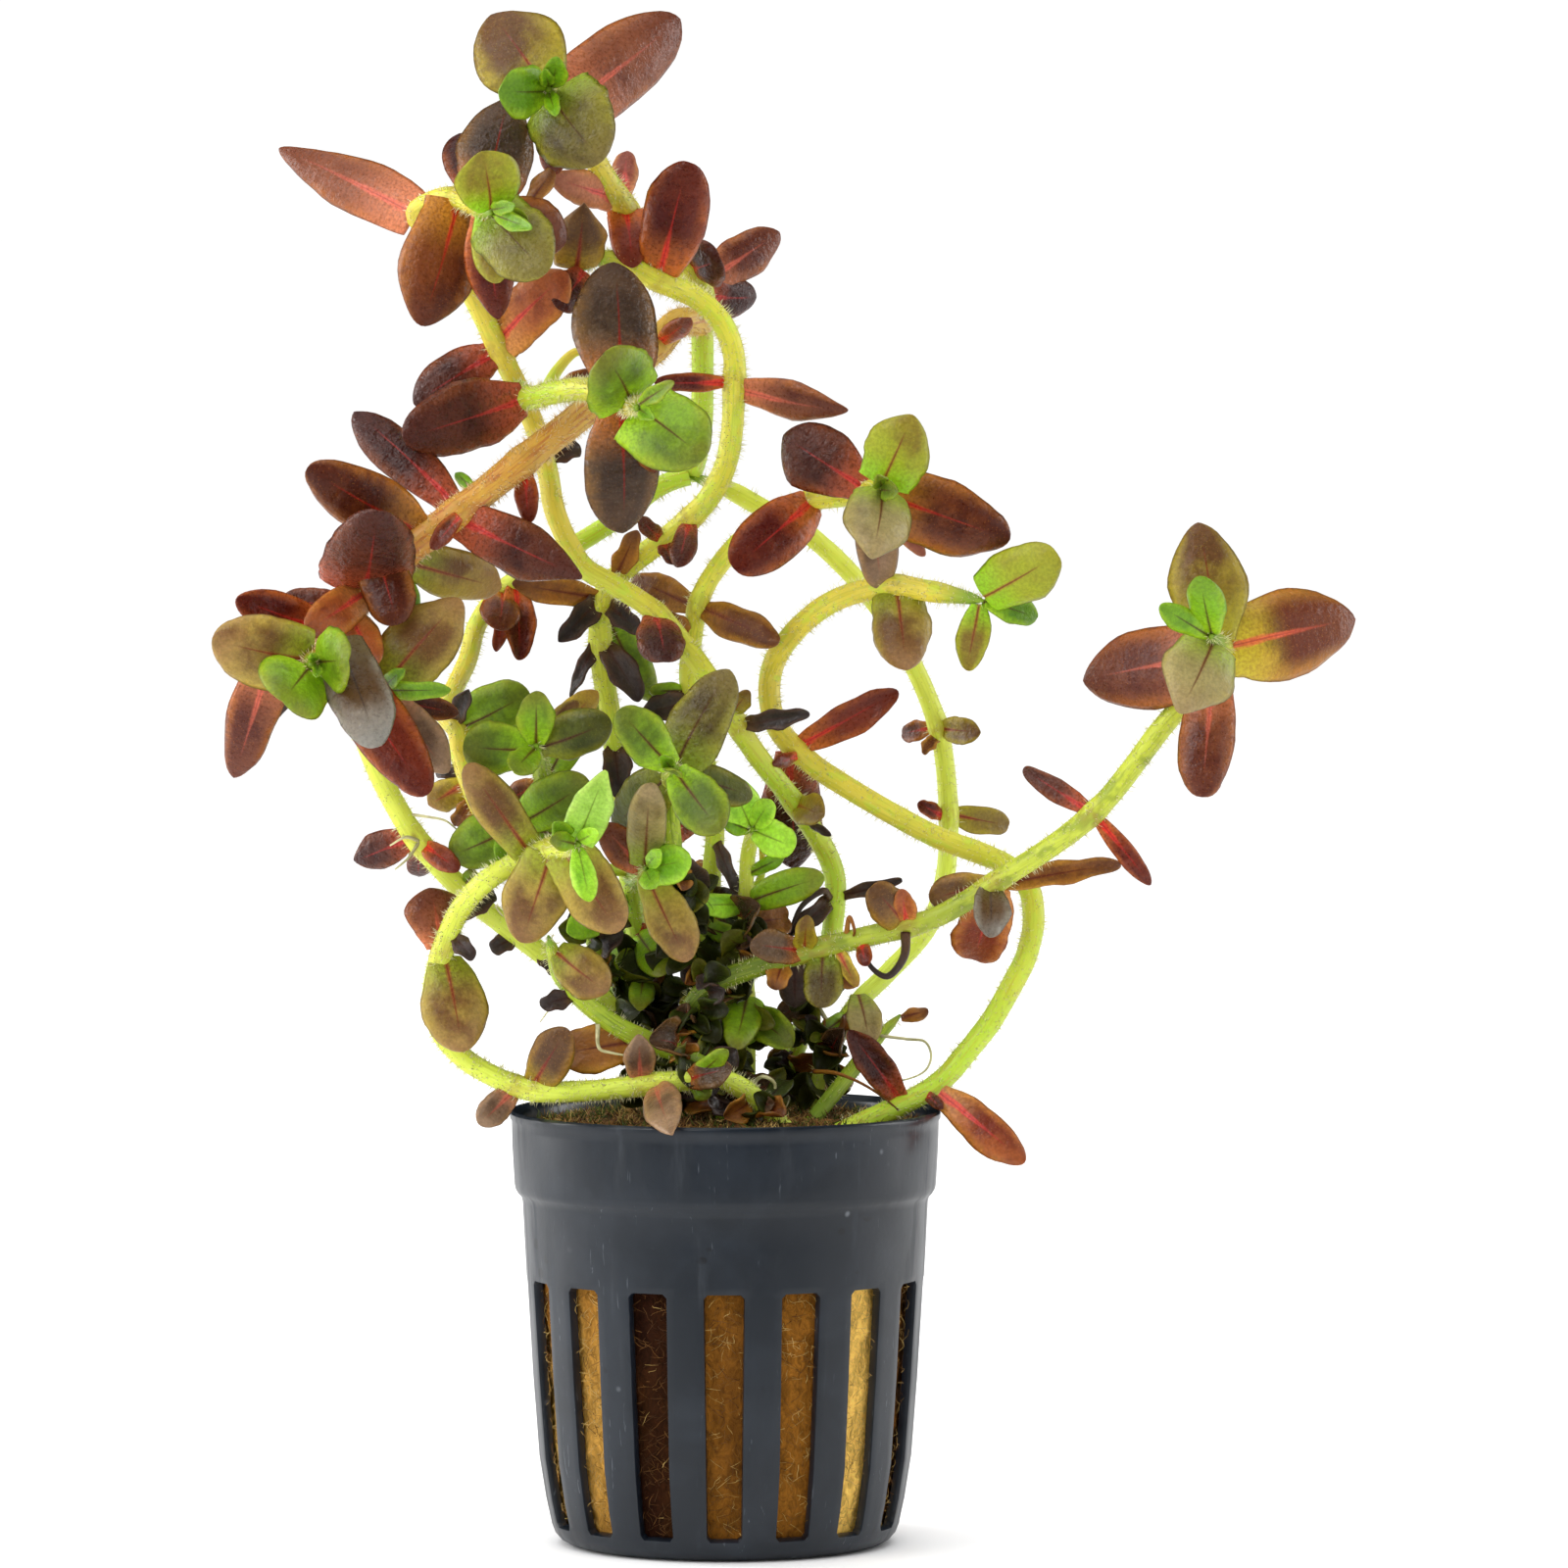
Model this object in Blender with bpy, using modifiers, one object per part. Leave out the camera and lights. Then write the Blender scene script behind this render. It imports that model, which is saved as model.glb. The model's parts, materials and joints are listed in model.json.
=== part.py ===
"""Purple bacopa salzmannii: leafy stems that grow from a rockwool plug in a slotted net pot.

Metres, +Z up. The origin is the centre of the pot's flat base, and the plant's front faces -Y.
Lengths below are in millimetres, and MM turns them into metres.
"""

import math
import random

import bmesh
import bpy
from mathutils import Matrix, Vector

MM = 0.001
GAP = 0.35  # clearance between pieces that touch

# The pot
POT_HEIGHT = 51.2
POT_RIM_RADIUS = 25.3
COLLAR_FOOT_RADIUS = 24.7
COLLAR_HEIGHT = 10.2
BODY_TOP_RADIUS = 23.9
BODY_MID_RADIUS = 22.8
BODY_LOW_RADIUS = 21.1
CORNER_RADIUS = 20.2
BASE_RADIUS = 18.0
WALL = 1.2
FLOOR = 1.6
ROUND_STEPS = 32
SLOT_COUNT = 16
SLOT_WIDTH_TOP = 4.8
SLOT_WIDTH_FOOT = 4.0
SLOT_TOP = 31.6
SLOT_FOOT = 2.45

# The plug
PLUG_TOP = 51.0
PLUG_EDGE_DROP = 1.6  # how much lower the plug's top is at the pot's wall
PLUG_ROUGHNESS = 0.35
PLUG_SEED = 4

# Leaves and stems
LEAF_THICKNESS = 1.0
LEAF_FOOT_SHARE = 0.04
LEAF_RINGS = 6
SMALL_LEAF_RINGS = 4
FUSED_SHARE = 0.3  # where the foot of a fused leaf lies inside its stem, as a part of the radius
STEM_TIP_TAPER = 0.8

# Places on the plant are given as seen by an eye in front of it: across and height on the plane through
# the pot's axis, and how far behind that plane the place lies. The shoots spread forwards and backwards
# as they rise, so the depths given below grow with height, from the spread's foot to its full height.
EYE = Vector((6.9, -1200.0, 155.6))
LIFT = 0.6  # the heights given below start this far above the base
SPREAD = 0.9
SPREAD_FOOT = 52.0
SPREAD_RISE = 30.0

# Stems that fork from another stem. The others stand on the plug.
FORKED = ("top_shoot_stem", "left_arch_stem", "diagonal_shoot_stem", "front_shoot_stem", "side_shoot_stem")

COLOURS = {
    "pot": ((0.045, 0.057, 0.082), 0.42),
    "rockwool": ((0.17, 0.105, 0.04), 0.95),
    "lime_stem": ((0.33, 0.36, 0.05), 0.5),
    "tan_stem": ((0.50, 0.36, 0.09), 0.5),
    "olive_stem": ((0.36, 0.31, 0.08), 0.5),
    "green": ((0.16, 0.27, 0.03), 0.45),
    "olive": ((0.21, 0.19, 0.05), 0.45),
    "brown": ((0.20, 0.09, 0.04), 0.4),
    "purple": ((0.15, 0.06, 0.08), 0.35),
    "red": ((0.33, 0.09, 0.05), 0.4),
}

# Each stem: its colour, its radius and the places that it runs through, from the plug or a fork to its tip.
STEMS = {
    "right_arch_stem": ("lime_stem", 1.15, [
        (10.5, 50.6, 5), (12.5, 58, 6), (15.5, 63, 7), (19, 66.5, 8), (23.5, 71.5, 9), (25.4, 76, 10),
        (26.2, 82, 10), (26, 89, 10), (25, 95.5, 9), (21.7, 103.5, 8), (16.5, 111.5, 8), (9.5, 118.4, 7),
        (5, 120.9, 6), (0.3, 123.5, 6), (-4.2, 125, 6)]),
    "top_shoot_stem": ("tan_stem", 1.3, [
        (-3.5, 126.9, 6.5), (-2.8, 131, 6.5), (-2.7, 143, 5), (-2.7, 146.5, 5), (-4.5, 149.5, 4.5),
        (-8, 152.5, 4), (-11.8, 156.7, 1), (-17.5, 165.5, -3), (-20, 168.8, -6), (-20.7, 170.3, -10)]),
    "left_arch_stem": ("tan_stem", 1.15, [
        (-5.8, 124.6, 6), (-8, 123.6, 6), (-12, 120.5, 6), (-21.5, 114.5, 5), (-26, 111.8, 6),
        (-29, 107.8, 6), (-30.2, 103.5, 5), (-32.8, 97, 2), (-31.3, 95, 1), (-31.2, 92.5, 1),
        (-30.3, 89.5, 0), (-28.8, 86, -1), (-26.8, 83.8, -3), (-24.3, 83.8, -6)]),
    "tall_shoot_stem": ("tan_stem", 1.25, [
        (6.8, 50.6, 9), (7.2, 54.5, 9), (8.5, 58.5, 8), (11.8, 67.5, 5), (12.9, 75.2, 4), (12.9, 77.5, 4),
        (12, 80.5, 4), (8, 86.8, 2), (3.2, 93, 0), (-0.8, 99.6, -1), (-5, 105.5, -1), (-8.5, 109.3, -1),
        (-13, 112.2, -1), (-16.5, 114.3, -1), (-18.3, 117, -1), (-20, 121, -1), (-20.7, 125, -0.5),
        (-22, 130, 0), (-27, 141, -2), (-31.5, 149.5, -4), (-35, 153.8, -4), (-36, 155.8, -4),
        (-34, 157.3, -5), (-31.5, 157.6, -7), (-28.5, 156.3, -11), (-27.3, 155.8, -14)]),
    "hook_shoot_stem": ("olive_stem", 1.3, [
        (-7, 50.6, 8), (-8.5, 60, 7), (-10.8, 74, 5), (-11.8, 84, 4), (-13.1, 94, 3), (-14.6, 104, 2.5),
        (-14.6, 109, 2.5), (-13.9, 111.8, 3), (-11.5, 114.3, 3), (-4, 120.1, 1.5), (-1.3, 123.3, 1),
        (0.4, 127.5, 1), (1.1, 135.3, 0), (1, 139.5, 0), (-0.4, 143, 0), (-3.2, 145.8, 0),
        (-7.5, 147.8, -1), (-11, 149.6, -1), (-14.8, 150.5, -1), (-17.3, 149, -1.5)]),
    "diagonal_shoot_stem": ("tan_stem", 1.7, [
        (-5.6, 142.9, 2.5), (-8.3, 140.3, 2), (-15.5, 133.9, -2), (-24, 127.6, -6), (-31.2, 122, -8),
        (-36.5, 118, -9), (-38.5, 115.5, -9), (-43.3, 110.2, -8), (-45.8, 106.5, -9), (-47.8, 103.8, -13),
        (-48.6, 102.8, -17)]),
    "front_shoot_stem": ("olive_stem", 1.35, [
        (-23.3, 134.1, -3.4), (-20, 134.8, -6), (-16.5, 135.2, -8.5), (-13, 134.5, -11),
        (-11, 133.5, -14), (-10.3, 133, -18)]),
    "middle_shoot_stem": ("olive_stem", 1.15, [
        (-2.5, 50.6, 4), (-2.3, 60, 4), (-1.8, 76.5, 3), (-1.2, 84, 3), (-2, 90, 3), (-4.3, 101, 3),
        (-3.9, 105.5, 3), (-3, 110.5, 2), (-0.8, 114.5, 2), (3, 118.6, 1), (6.5, 121, 1),
        (10, 122.2, 0), (13.5, 122.5, -1), (16.5, 123.2, -3), (18.8, 123.8, -7)]),
    "right_loop_stem": ("olive_stem", 1.3, [
        (19.5, 50.8, -4), (25, 53.6, -1), (28, 56.8, 0), (31, 60.6, 1), (33.6, 65, 2), (35.5, 69, 2),
        (36.2, 73, 2), (35.6, 76.7, 2), (33, 79.3, 2), (24, 83, 2), (11, 90.6, 3), (8.3, 92.9, 3),
        (6.3, 95.2, 3), (5.2, 98.5, 3), (5.3, 101.8, 3), (6.5, 104.6, 2), (9, 107.6, 1),
        (12.3, 110.1, 0), (16, 111.5, 0), (20, 112.1, -1), (24, 111.5, -2), (30.3, 110.4, -4)]),
    "right_diagonal_stem": ("olive_stem", 1.25, [
        (-5, 50.6, -2), (-5, 57, -3), (-4, 62.5, -3.7), (-1.5, 65.2, -4), (6.5, 68.2, -4), (15, 70.5, -4),
        (20.8, 71.9, -4), (25, 73.3, -4), (31.3, 77, -4), (43.2, 85.4, -5), (52.3, 96.7, -5),
        (57.8, 102.3, -6), (58.3, 104.5, -8), (57, 106.3, -12)]),
    "left_loop_stem": ("lime_stem", 1.25, [
        (4.2, 50.8, -9), (2, 53, -10), (-1, 54.2, -11), (-5, 53.9, -12), (-15, 52.8, -12),
        (-20, 52.6, -12), (-24, 53.1, -11), (-28, 54.8, -10), (-31.3, 57, -9), (-33.6, 60, -8),
        (-34.4, 63.5, -8), (-34, 66.5, -8), (-32.2, 72, -8), (-30.6, 74.8, -8), (-28, 77.5, -9),
        (-24.8, 79.5, -9), (-21.5, 80.9, -10), (-18.5, 81.6, -12), (-17.2, 81.8, -15)]),
    "low_left_stem": ("lime_stem", 1.15, [
        (-0.5, 50.6, -6), (-1.5, 54.5, -7), (-5, 56.9, -8), (-9.5, 58.7, -8), (-13.5, 60.9, -8),
        (-17, 63.7, -8), (-19.3, 66.5, -8), (-20.8, 71, -10)]),
    "left_stem": ("lime_stem", 1.3, [
        (-8, 50.6, 2), (-10, 57, 0), (-14, 63, -1), (-22.5, 69.6, -3), (-30, 75.6, -4),
        (-36.2, 82.3, -4), (-40.8, 90.5, -5), (-42.3, 95, -6), (-41.5, 98.5, -8), (-40.3, 100.2, -11)]),
    "centre_left_stem": ("lime_stem", 1.1, [
        (-4, 50.6, 7), (-8, 58, 3.5), (-13, 66, 3), (-17, 74, 1), (-19.5, 82, -1), (-21, 88, -3),
        (-22, 92, -6), (-22.2, 93.4, -10)]),
    "centre_stem": ("lime_stem", 1.1, [
        (0.5, 50.6, -1), (-1, 60, 0.5), (-4.5, 70, -0.5), (-6, 80, -4), (-6.5, 86, -6), (-6.3, 90, -9),
        (-6, 90.8, -13)]),
    "side_shoot_stem": ("lime_stem", 1.0, [
        (-10.5, 77.5, 2), (-9.8, 78, -2), (-9.3, 79, -7)]),
    "bright_shoot_stem": ("lime_stem", 0.9, [
        (2.5, 50.6, 1), (2.7, 58, 1), (2.4, 70, 0), (2.6, 80, 0), (3.2, 83, -2), (3.2, 83.6, -5)]),
    "cut_stub": ("lime_stem", 0.95, [
        (11.5, 50.8, -1), (15, 55.2, 2), (18, 59, 3), (20.6, 61.7, 3.5)]),
}

# Each leaf: its own name, or none where it is fused to its stem; its colour; where it leaves the stem; its
# tip; its width; its roll, 0 with its face towards the eye and 90 edge-on; and how far it bows outwards.
LEAVES = {
    "top_shoot_stem": [
        ("top_upper_leaf", "olive", (-21.5, 171, -8), (-26.5, 179.9, -5), 10.5, 0, 0.6),
        ("top_front_leaf", "olive", (-19, 169.8, -9), (-15.8, 160.8, -12), 9.7, 0, 1.5),
        ("top_right_leaf", "purple", (-18.5, 169.2, -4.5), (-4.8, 178.8, 2), 7.8, 0, 0.5),
        ("", "green", (-20.5, 170.3, -9.6), (-26.3, 170.1, -13), 6, 0, 0.4),
        ("", "green", (-20, 170.5, -9.6), (-19.8, 173.8, -13), 3, 0, 0.3),
        ("", "red", (-20, 168, -5), (-20.3, 160.3, -3), 3.5, 0, 0.4),
        ("", "red", (-12.5, 157.5, 0), (-20, 160, -3), 3.8, 0, 0.4),
        ("", "red", (-11.8, 157.5, 1), (-11.5, 163, 4), 2.8, 0, 0.3),
        ("", "red", (-11.3, 156.5, 1), (-10.3, 150.3, -2), 3.6, 0, 0.4),
        ("", "purple", (-5, 149.5, 4.5), (-0.4, 149.3, 1), 5.5, 0, 0.3),
        ("", "brown", (-2.7, 147.5, 5), (6.3, 153.4, 9), 4.2, 0, 0.3),
        ("", "purple", (-2.7, 146, 5), (3.7, 146, 8), 4.6, 0, 0.3),
    ],
    "tall_shoot_stem": [
        ("upper_left_top_leaf", "brown", (-27.8, 157.5, -11), (-26.3, 169.4, -8), 8.6, 0, 0.8),
        ("upper_left_front_leaf", "green", (-27, 155.5, -13.5), (-21.5, 147.9, -17), 8.5, 0, 1.0),
        ("upper_left_lower_leaf", "olive", (-32.5, 157.3, -6.3), (-36.3, 142.7, -9.5), 8.8, 0, 1.0),
        ("far_left_top_leaf", "purple", (-36.3, 155.8, -4), (-52, 163.2, 3), 6.6, 0, 0.8),
        ("tall_shoot_red_leaf", "red", (-26.8, 140.8, -2), (-18.5, 148.8, -4), 6.5, 0, 0.5),
        ("tall_shoot_left_leaf", "purple", (-26.8, 139.5, -1.8), (-36.5, 133.5, -1), 6, 0, 0.5),
        ("", "olive", (-27.2, 156.6, -14), (-28.5, 163, -16), 7.5, 0, 0.4),
        ("", "brown", (-28.6, 155.9, -11), (-27.3, 143.5, -10), 5.3, 0, 0.4),
        ("", "olive", (-27.4, 155.9, -13.2), (-23, 155, -17.5), 1.8, 0, 0.2),
        ("", "purple", (2, 95.5, -1), (9.9, 97.2, -3), 2.0, 0, 0.2),
        ("", "olive", (8.5, 86, 1.5), (11.6, 85, -2), 4.2, 0, 0.2),
        ("", "purple", (-7.8, 109, -2), (-7, 103.2, -4.5), 5.5, 0, 0.3),
    ],
    "hook_shoot_stem": [
        ("hook_shoot_top_leaf", "red", (-8, 147.9, -1.5), (-4.3, 161.8, -4), 7.2, 0, 0.8),
        ("hook_shoot_right_leaf", "purple", (2, 135.3, 0), (14.2, 132.8, -3), 4.6, 15, 0.4),
        ("", "olive", (-17.3, 149.2, -1.5), (-16.7, 156.9, -4), 5.5, 0, 0.3),
        ("", "purple", (-16.8, 148.6, -1.5), (-19.6, 144.6, -3), 4, 0, 0.3),
        ("", "red", (0.2, 136, 0), (-8.3, 136, -2), 2.3, 0, 0.2),
        ("", "purple", (-14, 105.3, 2), (-10, 98.6, 0), 3.3, 0, 0.3),
        ("", "green", (-13.8, 109, 3), (-8.5, 98.5, 6), 4.5, 0, 0.3),
        ("", "purple", (-4.2, 119.6, 1), (-5.5, 114.3, -2), 3, 0, 0.3),
    ],
    "diagonal_shoot_stem": [
        ("left_shoot_purple_leaf", "purple", (-32, 122.2, -8), (-43.5, 132.5, -4), 5.5, 20, 0.6),
        ("left_shoot_right_leaf", "purple", (-31.2, 120.8, -8.5), (-16.8, 113.2, -9), 6.8, 0, 0.8),
        ("left_shoot_upper_leaf", "brown", (-36, 119.5, -9.5), (-49, 126, -12), 6.8, 0, 0.8),
        ("left_shoot_round_leaf", "brown", (-42.8, 111, -9.5), (-41, 121, -15), 10, 0, 1.0),
        ("left_crown_left_leaf", "olive", (-48, 103.8, -15), (-60.1, 106.2, -17), 8, 0, 1.0),
        ("left_crown_right_leaf", "olive", (-47.6, 103.2, -14.5), (-40.2, 93.8, -19), 8.3, 0, 1.2),
        ("left_crown_lower_leaf", "red", (-46.8, 103.6, -11), (-34.8, 87.7, -14), 7, 0, 0.6),
        ("", "purple", (-48.3, 102.6, -13), (-57.3, 90.8, -10), 5, 0, 0.5),
        ("", "green", (-48.8, 102.4, -16.6), (-52.5, 98, -20), 7.5, 0, 0.3),
        ("", "green", (-48.3, 102.9, -15.8), (-44.4, 102.8, -20.5), 5.5, 0, 0.3),
        ("", "purple", (-43.8, 109.6, -8), (-52, 110.5, -7), 3.5, 0, 0.3),
        ("", "olive", (-38, 115.3, -8.5), (-26.3, 112, -3.5), 5.5, 0, 0.4),
        ("", "red", (-31.5, 121.5, -8), (-34.5, 116.5, -12), 2.2, 0, 0.3),
        ("", "red", (-24, 127, -6), (-23, 119.5, -6.5), 2.8, 0, 0.3),
        ("", "red", (-7.5, 140.6, 1.5), (-4, 143.5, -3), 2.4, 0, 0.2),
    ],
    "front_shoot_stem": [
        ("front_top_leaf", "brown", (-12.3, 134.8, -12), (-13, 150, -9), 9.9, 0, 0.8),
        ("front_lower_leaf", "brown", (-12.3, 133.3, -12), (-12, 118.3, -10), 8.3, 0, 0.8),
        ("front_left_leaf", "green", (-10.8, 133.5, -15), (-15.8, 138, -19), 8.6, 0, 0.6),
        ("front_right_leaf", "green", (-10.2, 132.6, -15.5), (-1.8, 126.8, -18), 8.7, 0, 0.6),
        ("front_shoot_purple_leaf", "purple", (-23.3, 134, -3.6), (-37.8, 129.5, -7), 8.6, 0, 0.6),
        ("", "green", (-10.3, 133, -17.8), (-6, 136, -22), 1.8, 0, 0.2),
    ],
    "middle_shoot_stem": [
        ("middle_shoot_lower_leaf", "brown", (10, 121.6, -0.5), (1, 114.2, -5), 6.8, 0, 0.6),
        ("right_crown_left_leaf", "brown", (17, 124, -3.5), (6.8, 129.8, -2), 7.8, 0, 0.8),
        ("right_crown_top_leaf", "olive", (19, 124.4, -6), (22.8, 132.2, -7), 7.8, 0, 0.6),
        ("right_crown_front_leaf", "green", (18.8, 123.4, -6.5), (17.2, 115.3, -11), 7.8, 0, 1.0),
        ("right_crown_right_leaf", "brown", (17.8, 122.8, -4), (33.3, 117.6, -4), 8.3, 0, 0.8),
        ("", "green", (18.8, 123.9, -6.8), (20.3, 123.3, -11), 2.4, 0, 0.2),
        ("", "brown", (-3.5, 109.8, 2.5), (-11, 113, 6), 3.8, 0, 0.3),
        ("", "brown", (-3, 109.6, 2), (6.3, 105.5, -2), 4.2, 0, 0.3),
        ("", "purple", (-1.8, 76.5, 3), (1.0, 75.8, 1.6), 1.4, 0, 0.1),
    ],
    "right_loop_stem": [
        ("right_shoot_curled_leaf", "olive", (20.1, 111.6, -1.2), (21.5, 102.4, -3), 6.5, 0, 1.2),
        ("right_shoot_tip_leaf", "olive", (30.6, 110.6, -4), (39, 115.5, -6), 5.8, 0, 0.4),
        ("right_loop_maroon_leaf", "purple", (8.3, 92.6, 3.5), (9.5, 79.3, 8), 6.5, 0, 0.6),
        ("", "red", (8.6, 93.3, 3), (20.3, 99.8, 2), 3.8, 0, 0.3),
        ("", "green", (30, 110.3, -4), (35.8, 108, -2), 2.2, 0, 0.2),
        ("", "olive", (29.8, 110.2, -3.8), (28.8, 102.3, -3), 3.8, 0, 0.3),
        ("", "brown", (26.5, 55, -1), (34.8, 44.2, -7), 5.2, 0, 0.6),
    ],
    "right_arch_stem": [
        ("", "brown", (25.3, 95.6, 9), (20.8, 94.7, 11), 2.4, 0, 0.2),
        ("", "olive", (25.3, 95.5, 9), (30, 95, 6), 3.4, 0, 0.2),
        ("", "olive", (26.4, 85.3, 10), (33.3, 84, 12), 3.3, 0, 0.3),
        ("", "red", (26, 85, 10), (22.6, 86.6, 9), 2.0, 0, 0.2),
    ],
    "right_diagonal_stem": [
        ("far_right_top_leaf", "olive", (57.8, 105.8, -9), (56.3, 119.7, -7), 9.2, 0, 1.0),
        ("far_right_right_leaf", "red", (58.6, 104.8, -8.5), (73.9, 108.3, -4), 9.6, 0, 1.0),
        ("far_right_left_leaf", "purple", (57, 103.8, -7), (42, 101, -3), 8, 0, 0.8),
        ("far_right_front_leaf", "olive", (57.2, 106, -11), (54.1, 97.2, -14), 8.6, 0, 1.0),
        ("far_right_lower_leaf", "red", (57, 101.5, -6.3), (56.7, 87.3, -9), 6, 0, 0.8),
        ("", "green", (57, 106.3, -11.6), (51, 109.8, -14), 2.8, 0, 0.3),
        ("", "green", (57.2, 106.5, -11.6), (55.8, 113.2, -15), 4, 0, 0.3),
        ("", "purple", (42.8, 85.6, -5), (35, 90.7, -3), 2.6, 0, 0.3),
        ("", "red", (43.6, 85, -5), (50, 77, -4), 2.4, 0, 0.3),
        ("", "red", (31.8, 77, -4), (46.5, 79.5, -1), 2.5, 0, 0.3),
        ("", "olive", (30.8, 77, -4), (24, 74.8, -7), 3, 0, 0.2),
        ("", "green", (31, 76.6, -4), (30.5, 71.2, -8), 4, 0, 0.4),
        ("", "brown", (31.6, 77, -3.5), (28, 68.5, 0), 5.5, 0, 0.5),
        ("", "olive", (20.8, 72.4, -4), (17, 76.6, -6), 3.8, 0, 0.3),
        ("", "purple", (6.2, 68.4, -4), (10.5, 70.5, -7), 2.8, 0, 0.2),
        ("", "olive", (11.5, 69.2, -4), (11.3, 62.5, -7), 4.5, 0, 0.4),
    ],
    "left_loop_stem": [
        ("left_loop_lower_leaf", "olive", (-33.2, 68.5, -8.4), (-30, 57.4, -13), 7.5, 0, 0.8),
        ("left_crown_big_leaf", "olive", (-18.9, 81.1, -11.5), (-12.4, 71.5, -14), 6, 0, 0.6),
        ("", "olive", (-33.5, 69.5, -8), (-35, 76.2, -6), 5.8, 0, 0.4),
        ("", "brown", (-22.5, 53.3, -11.5), (-18.5, 60, -13), 4.8, 0, 0.4),
        ("", "purple", (-24.8, 52.8, -11), (-29, 48.7, -13), 3.8, 0, 0.3),
        ("", "red", (-8, 53.2, -12), (-6.2, 47.5, -28.5), 4.8, 0, 0.6),
        ("", "purple", (-10, 53.8, -12), (-9.4, 58.9, -13), 3.6, 0, 0.3),
        ("", "green", (-17.2, 82, -14.5), (-14.3, 89.8, -17), 4.5, 0, 0.3),
        ("", "green", (-17.3, 81.6, -14.6), (-16.2, 75, -18), 2.7, 0, 0.2),
        ("", "green", (-17.4, 81.9, -14.8), (-20.5, 82.4, -18), 2.4, 0, 0.2),
        ("", "brown", (-20, 81, -10.5), (-25.7, 71.2, -12), 6, 0, 0.4),
    ],
    "low_left_stem": [
        ("", "brown", (-20.3, 69.6, -9), (-13.8, 64.4, -12), 5.6, 0, 0.4),
        ("", "brown", (-10, 58.8, -8), (-18.6, 57.6, -7), 5.0, 0, 0.4),
    ],
    "left_stem": [
        ("left_shoot_big_leaf", "olive", (-40.2, 100.5, -10.5), (-31, 110.3, -9), 8, 0, 1.0),
        ("", "red", (-40.4, 99.6, -10.5), (-32.5, 90.2, -10), 4.5, 0, 0.4),
        ("", "red", (-36.8, 82.6, -4), (-43.3, 79.8, -2), 3.5, 0, 0.3),
        ("", "purple", (-35.6, 81.8, -4), (-36, 78, -1), 3, 0, 0.2),
        ("", "red", (-35.4, 82, -4), (-31.3, 78.7, -7), 2.8, 0, 0.2),
    ],
    "left_arch_stem": [
        ("", "brown", (-24.5, 83.4, -5), (-30.2, 91.8, -7), 4.8, 0, 0.4),
        ("", "olive", (-25.2, 83.6, -5), (-32.5, 80.6, -4), 5.6, 0, 0.4),
        ("", "green", (-24.3, 84.2, -5.6), (-16, 89.3, -8), 5.6, 0, 0.4),
        ("", "green", (-24.1, 83.6, -5.6), (-17, 82.6, -5), 3, 0, 0.3),
        ("", "green", (-31.2, 95.4, 1), (-23, 99.7, 0), 6.2, 0, 0.4),
    ],
    "centre_left_stem": [
        ("", "green", (-22.1, 93.6, -9.6), (-22.2, 99.8, -11), 4.3, 0, 0.3),
        ("", "green", (-21.9, 93, -9), (-13.4, 96.3, -10), 5, 0, 0.4),
        ("", "olive", (-22.4, 92.8, -8.6), (-30.8, 93.3, -10), 6.5, 0, 0.4),
        ("", "green", (-22.2, 93.2, -9.7), (-24.8, 90.3, -14), 3.5, 0, 0.2),
        ("", "green", (-21.4, 89, -3.6), (-15.5, 99, -1), 4.5, 0, 0.3),
    ],
    "centre_stem": [
        ("centre_olive_leaf", "olive", (-5.5, 91, -10), (0.5, 102.3, -9), 6.8, 0, 0.8),
        ("", "green", (-6.2, 90.9, -12), (-12.5, 97.6, -13), 5.5, 0, 0.4),
        ("", "green", (-5.8, 90.6, -12.4), (-0.5, 83.3, -15), 6, 0, 0.4),
        ("", "olive", (-5.8, 90.4, -10), (3.6, 87, -8), 4, 0, 0.3),
        ("", "brown", (-6.6, 90, -8.6), (-13.2, 83.7, -3.5), 4, 0, 0.3),
        ("", "green", (-6, 90.8, -12.8), (-6, 90.6, -16.5), 2.4, 0, 0),
    ],
    "side_shoot_stem": [
        ("", "olive", (-9.4, 79, -6), (-8.8, 89, -11.5), 4.5, 0, 0.4),
        ("", "green", (-9.2, 79, -6.6), (-4, 79.3, -9.5), 4.4, 0, 0.3),
        ("", "olive", (-9.4, 78.6, -5.5), (-4.3, 68, -7.5), 5.3, 0, 0.4),
        ("", "purple", (-9.6, 78.4, -5), (-14.5, 84, -6), 4.2, 0, 0.3),
    ],
    "bright_shoot_stem": [
        ("", "green", (3.2, 83.4, -4), (1.2, 88.5, -6), 3.6, 0, 0.3),
        ("", "green", (3.2, 83.2, -4.4), (7.4, 81.5, -6), 3.5, 0, 0.3),
        ("", "green", (2.5, 75, 0), (11.4, 77.8, -3), 4, 0, 0.3),
        ("", "green", (2.5, 74.6, 0), (-3.6, 74.3, -4), 2.4, 0, 0.2),
        ("", "green", (2.6, 63.5, 0.5), (1.5, 58, -2), 4.6, 0, 0.2),
    ],
    "cut_stub": [
        ("", "red", (20.6, 61.4, 3.4), (23.9, 62.1, 3), 1.8, 0, 0.1),
    ],
}


def spot(across, height, depth):
    """The point that the eye sees at (across, height), at a depth behind the plane of the pot's axis."""
    risen = min(1.0, max(0.0, (height - SPREAD_FOOT) / SPREAD_RISE))
    behind = depth * (1.0 + SPREAD * risen)
    seen = Vector((across, 0.0, height + LIFT))
    return EYE + (seen - EYE) * ((behind - EYE.y) / -EYE.y)


def clear_scene():
    for old in list(bpy.data.objects):
        bpy.data.objects.remove(old, do_unlink=True)


def new_collection(name):
    collection = bpy.data.collections.new(name)
    bpy.context.scene.collection.children.link(collection)
    return collection


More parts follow.
